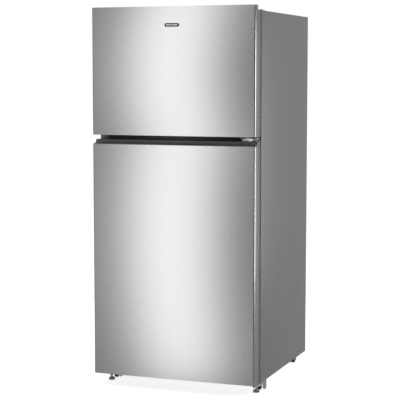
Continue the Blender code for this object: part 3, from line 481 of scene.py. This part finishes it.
def turn_out(obj):
    """Merges doubles and points every face outwards."""
    choose(obj)
    edit_mode()
    bpy.ops.mesh.select_all(action="SELECT")
    bpy.ops.mesh.remove_doubles(threshold=WELD)
    bpy.ops.mesh.normals_make_consistent(inside=False)
    object_mode()


def settle(obj, name, body, finish, slot, *stands_for):
    """The last step of every piece: name, finish, body and what it stands for."""
    choose(obj)
    bpy.ops.object.transform_apply(location=True, rotation=True, scale=True)
    obj.name = name
    obj.data.name = name
    obj.data.materials.clear()
    obj.data.materials.append(finish)
    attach(obj, body)
    if stands_for:
        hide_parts(*stands_for)
    return obj


# %% Starting shapes
def start_box(low, high):
    """A box between two corners."""
    middle = [(a + b) / 2 for a, b in zip(low, high)]
    size = [b - a for a, b in zip(low, high)]
    bpy.ops.object.select_all(action="DESELECT")
    bpy.ops.mesh.primitive_cube_add(size=1.0, location=middle, scale=size)
    bpy.ops.object.transform_apply(location=True, rotation=True, scale=True)
    return bpy.context.object


TURNS = {"X": (0.0, pi / 2, 0.0), "Y": (pi / 2, 0.0, 0.0), "Z": (0.0, 0.0, 0.0)}


def start_round(centre, radius, depth, axis="Z", sides=32):
    """A cylinder along one axis."""
    bpy.ops.object.select_all(action="DESELECT")
    bpy.ops.mesh.primitive_cylinder_add(vertices=sides, radius=radius, depth=depth,
                                        location=centre, rotation=TURNS[axis])
    bpy.ops.object.transform_apply(location=True, rotation=True, scale=True)
    return bpy.context.object


def joined(pieces):
    """Several meshes as one object, which keeps the first one's place."""
    bpy.ops.object.select_all(action="DESELECT")
    for piece in pieces:
        piece.select_set(True)
    bpy.context.view_layer.objects.active = pieces[0]
    bpy.ops.object.join()
    return bpy.context.object


def copied(obj):
    """A copy with its own mesh."""
    choose(obj)
    bpy.ops.object.duplicate(linked=False)
    return bpy.context.object


def settle_smooth(obj, degrees, *details):
    """Shades a settled piece smooth, apart from edges sharper than this many degrees."""
    choose(obj)
    bpy.ops.object.shade_smooth_by_angle(angle=radians(degrees))
    settle(obj, *details)


print("tools ready")

# %% [markdown]
# ## Finishes on the frame
# The frame's solids are exact, but each edge on them is perfectly sharp, and no real edge is. Sheet
# steel has the bend radius of its press, and moulded plastic the radius of its mould. So each solid
# whose shape is right is copied, its loose triangles are merged into whole faces, and its sharp
# edges get a small rounding that catches the light. The copy then stands for the solid.

# %% Which finish goes on which slot
finish_of_slot = {
    "stainless": stainless, "painted_grey": cabinet_paint, "zinc": zinc,
    "galvanised": galvanised, "white_plastic": trim_white, "dark_plastic": grip_grey,
    "black_plastic": trim_black, "grey_plastic": knob_grey, "clear_plastic": clear_bin,
    "frosted_plastic": frosted, "glass": shelf_glass, "foam": foam_buff,
    "rubber": gasket_grey, "black_paint": pump_black, "copper": copper,
    "aluminium": aluminium,
}
# The mullion rail gets the near-black finish that holds both its dark cover and painted shade of
# the gap between the doors.
finish_of_node = {"mullion_rail": rail_dark_and_painted_shade}
for liner in ("fridge_liner", "freezer_liner", "fridge_door_liner", "freezer_door_liner"):
    finish_of_node[liner] = liner_white
slot_of = {row["node"]: row["material_slot"] for row in frame["record"]["subparts"]}
body_of = {}
for body, members in frame["record"]["behaviour"]["bodies"].items():
    for member in members:
        body_of[member] = body


def finish_for(node):
    """The finish of a CAD node: its own if it has one, or that of its slot."""
    return finish_of_node.get(node, finish_of_slot[slot_of[node]])


for name, node in nodes.items():
    node.data.materials.clear()
    node.data.materials.append(finish_for(name))
print("finishes placed on", len(nodes), "nodes")


# %% Rounding a copy of a solid
def rounded_copy(name, width, merge=True, sharp=35.0):
    """A copy of a CAD node with its edges rounded, standing for the node."""
    piece = copied(nodes[name])
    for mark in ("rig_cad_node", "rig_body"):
        del piece[mark]
    piece.parent = None
    edit_mode()
    bpy.ops.mesh.select_all(action="SELECT")
    bpy.ops.mesh.remove_doubles(threshold=WELD)
    if merge:
        bpy.ops.mesh.dissolve_limited(angle_limit=radians(0.4))
    object_mode()
    soften(piece, width, 2, sharp)
    return settle(piece, f"{name}_rounded", body_of[name], finish_for(name), slot_of[name], name)


edge_rounding = {
    "base_pan": 0.0004, "mullion_rail": 0.0004, "top_hinge": 0.0006,
    "middle_hinge": 0.0006, "bottom_hinge": 0.0006, "front_bracket_left": 0.0006,
    "fridge_liner": 0.0008, "freezer_liner": 0.0008,
    "freezer_door_skin": 0.0003, "fridge_door_skin": 0.0003,
    "freezer_top_cap": 0.0010, "freezer_bottom_cap": 0.0010, "fridge_top_cap": 0.0010,
    "fridge_bottom_cap": 0.0010, "freezer_door_liner": 0.0006, "fridge_door_liner": 0.0006,
    "upper_shelf_frame": 0.0008, "lower_shelf_frame": 0.0008, "control_housing": 0.0010,
    "evaporator_cover": 0.0008, "compressor_cover": 0.0005, "drip_pan": 0.0008,
    "dairy_box": 0.0006, "dairy_lid": 0.0006, "light_switch": 0.0004,
    "crisper_left": 0.0006, "crisper_right": 0.0006, "crisper_cover": 0.0005,
    "upper_shelf_glass": 0.0005, "lower_shelf_glass": 0.0005, "light_lens": 0.0006,
    "freezer_bin_upper": 0.0006, "freezer_bin_lower": 0.0006, "fridge_bin_upper": 0.0006,
    "fridge_bin_lower": 0.0006, "humidity_slider_left": 0.0005,
    "humidity_slider_right": 0.0005, "condenser_fan": 0.0004, "evaporator_fan": 0.0004,
    "condenser_fan_motor": 0.0006, "evaporator_fan_motor": 0.0006,
}
for name, width in edge_rounding.items():
    rounded_copy(name, width)
rounded_copy("cabinet_wrapper", 0.0003, merge=False)  # merged, its thin rim would close the back
pressed_panel = rounded_copy("back_panel", 0.0004, sharp=8.0)  # its pressed step slopes gently
pressed_panel.data.shade_flat()
print("rounded copies:", len(edge_rounding) + 2)

# %% [markdown]
# ## Door seals
# A door seal is a soft frame of extruded rubber with a bellows: thin folds that let its magnet
# reach for the steel. A frame like this could be swept along a path, but it is quicker to start
# from an upright plane with rounded corners and inset it again and again. Each inset moves the
# middle a little forwards or backwards, so the steps of the insets draw the folds of the seal.


# %% Seals
def door_seal(node, folds):
    """A frame of folds; each fold is an inset's thickness and depth."""
    low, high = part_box(node)
    middle = ((low.x + high.x) / 2, low.y, (low.z + high.z) / 2)
    bpy.ops.object.select_all(action="DESELECT")
    bpy.ops.mesh.primitive_plane_add(size=1.0, location=middle, rotation=(-pi / 2, 0.0, 0.0))
    seal = bpy.context.object
    seal.scale = (high.x - low.x, high.z - low.z, 1.0)
    bpy.ops.object.transform_apply(location=True, rotation=True, scale=True)
    edit_mode()
    bpy.ops.mesh.select_all(action="SELECT")
    bpy.ops.mesh.bevel(offset=0.019, segments=6, affect="VERTICES")
    for thickness, depth in folds:
        bpy.ops.mesh.inset(thickness=thickness, depth=depth)
    bpy.ops.mesh.delete(type="FACE")
    bpy.ops.mesh.select_all(action="DESELECT")
    bpy.ops.mesh.select_mode(type="EDGE")
    bpy.ops.mesh.select_non_manifold()
    bpy.ops.mesh.bridge_edge_loops()
    object_mode()
    turn_out(seal)
    soften(seal, 0.0003, 1, 50.0)
    settle(seal, f"{node}_bellows", body_of[node], gasket_grey, slot_of[node], node)


seal_folds = [(0.0004, 0.0030), (0.0022, 0.0), (0.0006, -0.0014), (0.0009, 0.0), (0.0006, 0.0060),
              (0.0011, 0.0014), (0.0040, 0.0), (0.0011, -0.0014), (0.0006, -0.0060), (0.0009, 0.0),
              (0.0006, 0.0014), (0.0022, 0.0), (0.0004, -0.0030)]
for node in ("freezer_gasket", "fridge_gasket"):
    door_seal(node, seal_folds)
print("folds in a seal:", len(seal_folds))

# %% [markdown]
# ## Screws
# A screw is modelled once, standing on the origin and pointing up: a low dome with a cross cut into
# it. A Boolean cuts the cross cleanly, and every other screw is a copy turned to its place.

# %% One screw
first_dome = start_round((0.0, 0.0, 0.0008), 0.0042, 0.0016, "Z", 20)
pick_faces(first_dome, lambda centre, normal: normal.z > 0.9)
bpy.ops.mesh.inset(thickness=0.0012, depth=0.0006)
object_mode()
cross = [start_box((-0.0023, -0.00045, 0.0011), (0.0023, 0.00045, 0.004)),
         start_box((-0.00045, -0.0023, 0.0011), (0.00045, 0.0023, 0.004))]
for bar in cross:
    apply_modifier(first_dome, "BOOLEAN", operation="DIFFERENCE", solver="EXACT", object=bar)
    bpy.data.objects.remove(bar, do_unlink=True)
print("screw faces:", len(first_dome.data.polygons))


# %% A row of screws as one piece
def screws(name, places, facing):
    """Copies of the pattern screw at these places, their heads facing one way."""
    turn = Vector((0.0, 0.0, 1.0)).rotation_difference(Vector(facing)).to_matrix().to_4x4()
    heads = []
    for place in places:
        head = copied(first_dome)
        head.data.transform(Matrix.Translation(place) @ turn)
        heads.append(head)
    settle_smooth(joined(heads), 30, name, "cabinet", zinc, "zinc")


low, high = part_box("back_panel")
sheet_thickness = 0.0009
back_y = low.y + sheet_thickness
edge_x = high.x - 0.012
back_places = [(side * edge_x, back_y, z)
               for side in (-1, 1) for z in (0.30, 0.62, 0.96, 1.30, 1.64)]
back_places += [(x, back_y, 1.653) for x in (-0.22, 0.0, 0.22)]
screws("back_panel_screws", back_places, (0, 1, 0))
low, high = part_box("compressor_cover")
cover_places = [(x, high.y, z) for x in (-0.355, -0.02, 0.355) for z in (0.068, 0.262)]
screws("compressor_cover_screws", cover_places, (0, 1, 0))
low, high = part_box("evaporator_cover")
front_places = [(x, low.y, z) for x in (-0.296, 0.296) for z in (1.20, 1.57)]
screws("evaporator_cover_screws", front_places, (0, -1, 0))
print("screws:", len(back_places) + len(cover_places) + len(front_places))

# %% [markdown]
# ## Hinges
# The hinge plates come from the frame. What they lack is what a fitter would see: a six-sided head
# on each bolt, and a black bush on each pin that keeps the plate from grinding on the door.


# %% Bolt heads and bushes
def bolt_head(centre, axis, radius, height):
    """A six-sided head."""
    head = start_round(centre, radius, height, axis, 6)
    soften(head, 0.0005, 2, 30.0)
    return head


low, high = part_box("top_hinge")
top_places = ((0.318, -0.250), (0.355, -0.250), (0.318, -0.295))
bolts = [bolt_head((x, y, high.z + 0.0006), "Z", 0.0046, 0.0030) for x, y in top_places]
settle(joined(bolts), "top_hinge_bolts", "cabinet", zinc, "zinc")
bolts = [bolt_head((x, -0.3236, 1.107), "Y", 0.0042, 0.0014) for x in (0.303, 0.340)]
settle(joined(bolts), "middle_hinge_bolts", "cabinet", zinc, "zinc")
hinge = next(j for j in frame["joints"] if j["name"] == "fridge_door_hinge")
pin_x, pin_y = hinge["pos_m"][0], hinge["pos_m"][1]


def bush(name, low_z, high_z):
    """A ring round the hinge pins between two heights."""
    ring = start_round((pin_x, pin_y, (low_z + high_z) / 2), 0.0105, high_z - low_z, "Z", 36)
    pick_faces(ring, lambda centre, normal: abs(normal.z) > 0.9)
    bpy.ops.mesh.inset(thickness=0.0015, depth=0.0004, use_individual=True)
    object_mode()
    soften(ring, 0.0004)
    settle(ring, name, "cabinet", trim_black, "black_plastic")


bush("middle_hinge_bush", 1.1216, 1.1272)
bush("bottom_hinge_bush", 0.0492, 0.0545)
print("hinge pin at", round(pin_x, 3), round(pin_y, 3))

# %% [markdown]
# ## Levelling feet
# A foot is turned by hand, so its rim is ribbed for grip. The rim starts as a cylinder with many
# sides. Every second side face is pushed in, which leaves the ribs, and the stud above it carries a
# stack of thin rings that read as a thread.


# %% One foot, and its twin
def levelling_foot(node):
    """A ribbed pad that stands for the node, and a threaded stud in it."""
    low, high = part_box(node)
    x, y = (low.x + high.x) / 2, (low.y + high.y) / 2
    sides = 48
    pad = start_round((x, y, 0.0045), 0.0140, 0.0090, "Z", sides)

    def is_rib(centre, normal):
        turn = atan2(centre.y - y, centre.x - x) % (2 * pi)
        return abs(normal.z) < 0.2 and int(turn / (2 * pi) * sides) % 2 == 0

    pick_faces(pad, is_rib)
    bpy.ops.mesh.inset(thickness=0.0003, depth=-0.0006, use_individual=True)
    object_mode()
    pick_faces(pad, lambda centre, normal: normal.z > 0.9)
    bpy.ops.mesh.inset(thickness=0.0035, depth=0.0020)
    bpy.ops.mesh.inset(thickness=0.0020, depth=0.0015)
    object_mode()
    pick_faces(pad, lambda centre, normal: normal.z < -0.9)
    bpy.ops.mesh.inset(thickness=0.0012, depth=0.0)
    object_mode()
    bpy.ops.object.shade_smooth_by_angle(angle=radians(30))
    settle(pad, f"{node}_pad", body_of[node], knob_grey, slot_of[node], node)
    rings = []
    pitch = 0.0014
    base = 0.0125
    crest = 1.12
    for i in range(int((high.z - base) / pitch)):
        middle_z = base + pitch * (i + 0.5)
        ring = start_round((x, y, middle_z), 0.0040, pitch, "Z", 20)
        pick_edges(ring, lambda a, b: abs(a.z - b.z) > pitch / 2)
        bpy.ops.mesh.subdivide(number_cuts=1)
        object_mode()
        for vertex in ring.data.vertices:
            if abs(vertex.co.z - middle_z) < pitch / 4:
                vertex.co.x = x + (vertex.co.x - x) * crest
                vertex.co.y = y + (vertex.co.y - y) * crest
        rings.append(ring)
    settle(joined(rings), f"{node}_stud", body_of[node], zinc, "zinc")


for node in ("levelling_foot_left", "levelling_foot_right"):
    levelling_foot(node)
print("feet ready")

# %% [markdown]
# ## Rollers
# Each roller is a plastic tyre on a hub. The tyre comes from the frame with its rims rounded. The
# hub is one short cylinder through it. Its end faces are inset twice: once outwards, once inwards.


# %% Tyres and hub caps
def roller(node, hub):
    """The tyre with its rims rounded, and a hub of this radius showing on both sides."""
    rounded_copy(node, 0.0004)
    low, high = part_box(node)
    y, z = (low.y + high.y) / 2, (low.z + high.z) / 2
    cap = start_round(((low.x + high.x) / 2, y, z), hub, high.x - low.x + 0.0012, "X", 32)
    for way in (-1, 1):
        pick_faces(cap, lambda centre, normal: normal.x * way > 0.9)
        bpy.ops.mesh.inset(thickness=hub * 0.18, depth=0.0003)
        bpy.ops.mesh.inset(thickness=hub * 0.14, depth=-0.0007)
        object_mode()
    soften(cap, 0.0002, 1)
    settle(cap, f"{node}_hub", body_of[node], knob_grey, slot_of[node])


for end, hub in (("front", 0.0062), ("rear", 0.0095)):
    for side in ("left", "right"):
        roller(f"{end}_roller_{side}", hub)
print("rollers ready")

# %% [markdown]
# ## Bins, drawers and shelves
# Clear mouldings show little but their edges, so what the eye finds first is the white rail along
# the top of each one. A rail is a long box whose upper edge is pulled back and whose edges are
# rounded. Ribs under the rail stiffen the clear wall: they are thin boxes, one under the other.


# %% Rails for the door bins
def bin_rail(node):
    """A rail over the top of the wall that faces the shelves, hollow underneath."""
    low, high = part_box(node)
    rail = start_box((low.x - 0.0015, high.y - 0.0060, high.z - 0.024),
                     (high.x + 0.0015, high.y + 0.0024, high.z + 0.0015))
    pick_faces(rail, lambda centre, normal: normal.z < -0.9)
    bpy.ops.mesh.inset(thickness=0.0016, depth=0.0)
    bpy.ops.mesh.extrude_region_move(TRANSFORM_OT_translate={"value": (0.0, 0.0, 0.016)})
    object_mode()
    pick_edges(rail, lambda a, b: min(a.z, b.z) > high.z + 0.001 and min(a.y, b.y) > high.y)
    bpy.ops.transform.translate(value=(0.0, -0.0012, 0.0))
    object_mode()
    soften(rail, 0.0009, 3)
    settle(rail, f"{node}_rail", body_of[node], trim_white, "white_plastic")


def bin_ribs(node):
    """Three ribs below the rail, one under the other."""
    low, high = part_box(node)
    end_gap = 0.02
    ribs = []
    for drop in (0.036, 0.045, 0.054):
        z = high.z - drop
        rib = start_box((low.x + end_gap, high.y - 0.0026, z),
                        (high.x - end_gap, high.y - 0.0004, z + 0.002))
        soften(rib, 0.0006, 2)
        ribs.append(rib)
    settle(joined(ribs), f"{node}_ribs", body_of[node], clear_bin, slot_of[node])


for node in ("freezer_bin_upper", "freezer_bin_lower", "fridge_bin_upper", "fridge_bin_lower"):
    bin_rail(node)
    bin_ribs(node)
print("bin rails and ribs ready")


# %% Rails and runners for the crisper drawers
def crisper_rail(side):
    """A front rail, two runners, and a scale of five bars for the humidity slider."""
    node = f"crisper_{side}"
    low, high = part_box(node)
    front = low.y + 0.004
    rail = start_box((low.x + 0.0005, front - 0.0022, high.z - 0.0205),
                     (high.x - 0.0005, front + 0.0010, high.z + 0.0008))
    pick_faces(rail, lambda centre, normal: normal.y < -0.9)
    bpy.ops.mesh.inset(thickness=0.0024, depth=0.0)
    bpy.ops.mesh.inset(thickness=0.0008, depth=-0.0008)
    object_mode()
    soften(rail, 0.0005, 2)
    settle(rail, f"{node}_rail", node, trim_white, "white_plastic")
    runners = []
    for x in (low.x + 0.0010, high.x - 0.0045):
        runner = start_box((x, low.y + 0.012, high.z - 0.0022),
                           (x + 0.0035, high.y - 0.004, high.z + 0.0006))
        soften(runner, 0.0004, 1)
        runners.append(runner)
    settle(joined(runners), f"{node}_runners", node, trim_white, "white_plastic")
    middle = (low.x + high.x) / 2
    scale_z = 0.2725
    ticks = []
    for i in range(5):
        x = middle - 0.040 + i * 0.020
        tall = 0.0022 + 0.0006 * i
        ticks.append(start_box((x - 0.0005, front - 0.0003, scale_z),
                               (x + 0.0005, front + 0.0002, scale_z + tall)))
    settle(joined(ticks), f"{node}_scale", node, knob_grey, "grey_plastic")


for side in ("left", "right"):
    crisper_rail(side)
print("drawer rails, runners and scales ready")


# %% Front rails for the glass shelves
def shelf_nose(node, name):
    """A rail along the front of a shelf, with a shallow groove in its face."""
    low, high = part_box(node)
    nose = start_box((low.x + 0.0004, low.y - 0.0016, low.z - 0.0002),
                     (high.x - 0.0004, low.y + 0.0100, high.z + 0.0012))
    pick_faces(nose, lambda centre, normal: normal.y < -0.9)
    bpy.ops.mesh.inset(thickness=0.0030, depth=0.0)
    bpy.ops.mesh.inset(thickness=0.0010, depth=-0.0007)
    object_mode()
    soften(nose, 0.0011, 3)
    settle(nose, name, body_of[node], trim_white, "white_plastic")


shelf_nose("upper_shelf_frame", "upper_shelf_nose")
shelf_nose("lower_shelf_frame", "lower_shelf_nose")
low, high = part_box("crisper_cover")
cover_nose = start_box((low.x + 0.0004, low.y - 0.0016, low.z + 0.0002),
                       (high.x - 0.0004, low.y + 0.0080, high.z + 0.0030))
pick_edges(cover_nose, lambda a, b: min(a.z, b.z) > high.z and max(a.y, b.y) < low.y)
bpy.ops.mesh.bevel(offset=0.0020, segments=4, affect="EDGES")
object_mode()
soften(cover_nose, 0.0005, 2)
settle(cover_nose, "crisper_cover_nose", "cabinet", trim_white, "white_plastic")
print("shelf rails ready")

# %% [markdown]
# ## Wire shelf
# The freezer shelf is plated round wire. Each rod is a thin cylinder along Y, and the cross bars
# are thicker. The rods lie on the bars, as welded wire does, so the top of the shelf is the top of
# the rods. Curves with a bevel would give the same wire, but straight wire needs no curve.

# %% Rods and bars
low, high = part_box("freezer_shelf")
rod_radius = 0.0014
rod_count = 27
side_gap = 0.006
reach = high.x - low.x - 2 * side_gap
rods = []
for i in range(rod_count):
    x = low.x + side_gap + reach * i / (rod_count - 1)
    rod = start_round((x, (low.y + high.y) / 2, high.z - rod_radius), rod_radius,
                      high.y - low.y - 0.004, "Y", 8)
    rods.append(rod)
bar_radius = 0.0024
weld_depth = 0.0004
bar_z = high.z - 2 * rod_radius - bar_radius + weld_depth
for y in (low.y + 0.003, low.y + 0.10, (low.y + high.y) / 2, high.y - 0.10, high.y - 0.003):
    bar = start_round(((low.x + high.x) / 2, y, bar_z), bar_radius, high.x - low.x - 0.001,
                      "X", 12)
    rods.append(bar)
settle_smooth(joined(rods), 50, "freezer_wire_shelf", "cabinet", zinc, "zinc", "freezer_shelf")
print("rods", rod_count)

# %% [markdown]
# ## Controls
# The dial turns over a printed scale. Numbers are text objects, which have to become meshes before
# their place is applied. They are only a little thicker than ink, and the ticks between them are
# thin boxes set round the dial with a sine and a cosine. Beside the dial the housing has louvres:
# blades whose upper front edge is pulled back. The lamp cover's ribs are rods sunk into its face.


# %% Dial
low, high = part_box("temperature_dial")
dial_x = (low.x + high.x) / 2
dial_z = (low.z + high.z) / 2
dial_front = low.y
panel_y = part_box("control_housing")[0].y
rounded_copy("temperature_dial", 0.0006)


def round_dial(radius, turn, y):
    """The point at this radius and angle about the dial's axis."""
    return Vector((dial_x + radius * cos(turn), y, dial_z + radius * sin(turn)))


flute_count = 24
flutes = []
for i in range(flute_count):
    turn = 2 * pi * i / flute_count
    spot = round_dial(0.0178, turn, dial_front + 0.0085)
    flutes.append(start_round(spot, 0.0008, 0.0060, "Y", 8))
settle(joined(flutes), "temperature_dial_flutes", "temperature_dial", knob_grey, "grey_plastic")
print("flutes:", flute_count)

# %% Printed scale
first_degrees = 225
marks = []
for i in range(13):
    turn = radians(first_degrees - i * 22.5)
    inner, outer = 0.0196, 0.0212 if i % 2 else 0.0222
    middle = (inner + outer) / 2
    tick = start_box((-0.0003, -0.0001, inner - middle), (0.0003, 0.0001, outer - middle))
    tick.data.transform(Matrix.Translation(round_dial(middle, turn, panel_y))
                        @ Matrix.Rotation(pi / 2 - turn, 4, "Y"))
    marks.append(tick)
for number, degrees in ((1, first_degrees), (4, 90), (7, -45)):
    spot = round_dial(0.0262, radians(degrees), panel_y)
    bpy.ops.object.select_all(action="DESELECT")
    bpy.ops.object.text_add(location=spot, rotation=(pi / 2, 0.0, 0.0))
    digit = bpy.context.object
    digit.data.body = str(number)
    digit.data.size = 0.0065
    digit.data.extrude = 0.0001
    digit.data.align_x = "CENTER"
    digit.data.align_y = "CENTER"
    bpy.ops.object.convert(target="MESH")
    bpy.ops.object.transform_apply(location=True, rotation=True, scale=True)
    marks.append(bpy.context.object)
settle(joined(marks), "dial_scale", "cabinet", trim_black, "black_plastic")
print("marks round the dial ready")

# %% Louvres beside the dial, and ribs on the lamp cover
low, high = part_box("control_housing")
louvres = []
for i in range(7):
    z = low.z + 0.010 + i * 0.0045
    blade = start_box((0.140, low.y - 0.0012, z), (0.188, low.y + 0.0006, z + 0.0020))
    pick_edges(blade, lambda a, b: max(a.y, b.y) < low.y and min(a.z, b.z) > z + 0.001)
    bpy.ops.transform.translate(value=(0.0, 0.0010, 0.0))
    object_mode()
    louvres.append(blade)
settle(joined(louvres), "control_housing_louvres", "cabinet", trim_white, "white_plastic")
low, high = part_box("light_lens")
side_gap = 0.009
rib_count = 15
ribs = []
for i in range(rib_count):
    x = low.x + side_gap + i * (high.x - low.x - 2 * side_gap) / (rib_count - 1)
    rib = start_round((x, (low.y + high.y) / 2, low.z + 0.0004), 0.0022, high.y - low.y - 0.014,
                      "Y", 12)
    ribs.append(rib)
settle_smooth(joined(ribs), 50, "light_lens_ribs", "cabinet", frosted, "frosted_plastic")
print("controls ready")

# %% [markdown]
# ## Compressor bay
# Behind the cover stand the compressor, the folded condenser and its fan. The compressor is two
# pressed steel shells welded at their rims, so a rounded weld bead runs round it. It sits on four
# rubber bushes, and copper lines leave it. A line is drawn as a curve with a round bevel, and its
# points are only the places where a fitter would bend it.

# %% Smooth shells and tubes
for node in ("compressor", "condenser", "evaporator"):
    nodes[node].data.shade_smooth()
    crease = nodes[node].modifiers.new("smooth_faces", "EDGE_SPLIT")
    crease.split_angle = radians(40)
print("compressor and coils smoothed")

# %% Weld bead
pump_x, pump_y = -0.225, 0.285
weld_z = 0.131
bpy.ops.object.select_all(action="DESELECT")
bpy.ops.mesh.primitive_torus_add(location=(pump_x, pump_y, weld_z), major_radius=0.0768,
                                 minor_radius=0.0016, major_segments=64, minor_segments=10)
bead = bpy.context.object
for vertex in bead.data.vertices:
    turn = atan2(vertex.co.y, vertex.co.x)
    vertex.co.z *= 1.0 + 0.25 * sin(turn * 60)  # a weld is never quite even
bpy.ops.object.shade_smooth()
settle(bead, "compressor_weld", "cabinet", pump_black, "black_paint")
print("weld bead ready")

# %% Rubber bushes under the compressor
bush_z = 0.0550
waist = 0.16
bushes = []
for x in (pump_x - 0.072, pump_x + 0.072):
    for y in (pump_y - 0.056, pump_y + 0.056):
        mount = start_round((x, y, bush_z), 0.0125, 0.0085, "Z", 28)
        pick_edges(mount, lambda a, b: abs(a.z - b.z) > 0.004)
        bpy.ops.mesh.subdivide(number_cuts=3)
        object_mode()
        for vertex in mount.data.vertices:
            squeeze = 1.0 - waist * (1.0 - min(1.0, abs(vertex.co.z - bush_z) / 0.0040))
            vertex.co.x = x + (vertex.co.x - x) * squeeze
            vertex.co.y = y + (vertex.co.y - y) * squeeze
        soften(mount, 0.0008, 2, 60.0)
        bushes.append(mount)
settle(joined(bushes), "compressor_bushes", "cabinet", gasket_grey, "rubber")
print("bushes:", len(bushes))

# %% Terminal cover
relay_x = pump_x + 0.0935
relay = start_box((relay_x - 0.0060, pump_y - 0.0290, 0.1020),
                  (relay_x + 0.0020, pump_y + 0.0290, 0.1630))
pick_faces(relay, lambda centre, normal: normal.x > 0.9)
bpy.ops.mesh.inset(thickness=0.0040, depth=0.0010)
bpy.ops.mesh.inset(thickness=0.0015, depth=-0.0010)
object_mode()
soften(relay, 0.0010, 2)
settle(relay, "compressor_relay_cover", "cabinet", trim_black, "black_plastic")
print("terminal cover ready")


# %% Copper lines
def copper_line(name, radius, points):
    """A round tube that bends near each of these points."""
    curve = bpy.data.curves.new(name, "CURVE")
    curve.dimensions = "3D"
    curve.resolution_u = 8
    curve.bevel_depth = radius
    curve.bevel_resolution = 3
    curve.use_fill_caps = True
    spline = curve.splines.new("NURBS")
    spline.points.add(len(points) - 1)
    for target, point in zip(spline.points, points):
        target.co = (*point, 1.0)
    spline.use_endpoint_u = True
    spline.order_u = 3
    line = bpy.data.objects.new(name, curve)
    bpy.context.scene.collection.objects.link(line)
    choose(line)
    bpy.ops.object.convert(target="MESH")
    line = bpy.context.object
    turn_out(line)
    settle_smooth(line, 50, name, "cabinet", copper, "copper")


copper_line("discharge_line", 0.0024, [
    (-0.245, 0.194, 0.155), (-0.245, 0.176, 0.155), (-0.243, 0.1705, 0.150),
    (-0.215, 0.1700, 0.112), (-0.120, 0.1700, 0.090), (-0.030, 0.1700, 0.082),
    (-0.002, 0.1715, 0.080), (0.006, 0.186, 0.080), (0.008, 0.212, 0.080), (0.021, 0.215, 0.080)])
copper_line("suction_line", 0.0032, [
    (-0.172, 0.322, 0.165), (-0.150, 0.330, 0.172), (-0.112, 0.337, 0.178),
    (-0.103, 0.338, 0.190), (-0.102, 0.338, 0.230), (-0.102, 0.338, 0.2732)])
copper_line("liquid_line", 0.0022, [
    (0.021, 0.359, 0.080), (0.006, 0.362, 0.080), (0.003, 0.378, 0.084), (0.003, 0.381, 0.104)])
copper_line("capillary_tube", 0.0012, [
    (0.003, 0.381, 0.196), (0.003, 0.381, 0.210), (0.012, 0.378, 0.224), (0.020, 0.372, 0.240),
    (0.020, 0.370, 0.2732)])
print("copper lines ready")

# %% Filter drier in the liquid line
drier_middle = (0.003, 0.381, 0.150)
drier = start_round(drier_middle, 0.0085, 0.070, "Z", 28)
for way in (-1, 1):
    pick_faces(drier, lambda centre, normal: normal.z * way > 0.9)
    bpy.ops.mesh.extrude_region_move(TRANSFORM_OT_translate={"value": (0.0, 0.0, way * 0.012)})
    bpy.ops.transform.resize(value=(0.34, 0.34, 1.0), center_override=drier_middle)
    object_mode()
soften(drier, 0.0012, 3, 20.0)
settle(drier, "filter_drier", "cabinet", copper, "copper")
print("filter drier ready")

# %% Wires of the condenser
wire_pitch = 0.007
wires_in_row = 30
half_wire = 0.0007
rows = []
for bank in range(4):
    for offset in (-0.0032, 0.0032):
        y = 0.215 + bank * 0.048 + offset
        row = start_box((0.0325, y - half_wire, 0.070), (0.0339, y + half_wire, 0.212))
        apply_modifier(row, "ARRAY", count=wires_in_row, use_relative_offset=False,
                       use_constant_offset=True,
                       constant_offset_displace=(wire_pitch, 0.0, 0.0))
        rows.append(row)
settle(joined(rows), "condenser_wires", "cabinet", zinc, "zinc")
print("condenser wires:", len(rows) * wires_in_row)

# %% [markdown]
# ## Badge
# The badge is a plain plate with three raised bars. It carries no word and no mark. The bars are
# boxes a little sunk into the plate, each placed as a share of the length between its two ends.

# %% Plate and bars
low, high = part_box("badge")
rounded_copy("badge", 0.0002)
end_gap = 0.007
bar_reach = high.x - low.x - 2 * end_gap
middle_z = (low.z + high.z) / 2
half_height = 0.0018
bars = []
for start, stop in ((0.0, 0.30), (0.34, 0.52), (0.56, 1.0)):
    bar = start_box((low.x + end_gap + bar_reach * start, low.y - 0.0004, middle_z - half_height),
                    (low.x + end_gap + bar_reach * stop, low.y + 0.0002, middle_z + half_height))
    soften(bar, 0.00015, 1)
    bars.append(bar)
settle(joined(bars), "badge_bars", "freezer_door", zinc, "zinc")
print("badge ready")

# %% [markdown]
# ## Clearing up
# The screw that every other one was copied from isn't part of the object, so it goes.

# %% Clear the pattern screw
bpy.data.objects.remove(first_dome, do_unlink=True)
print("pattern screw removed")
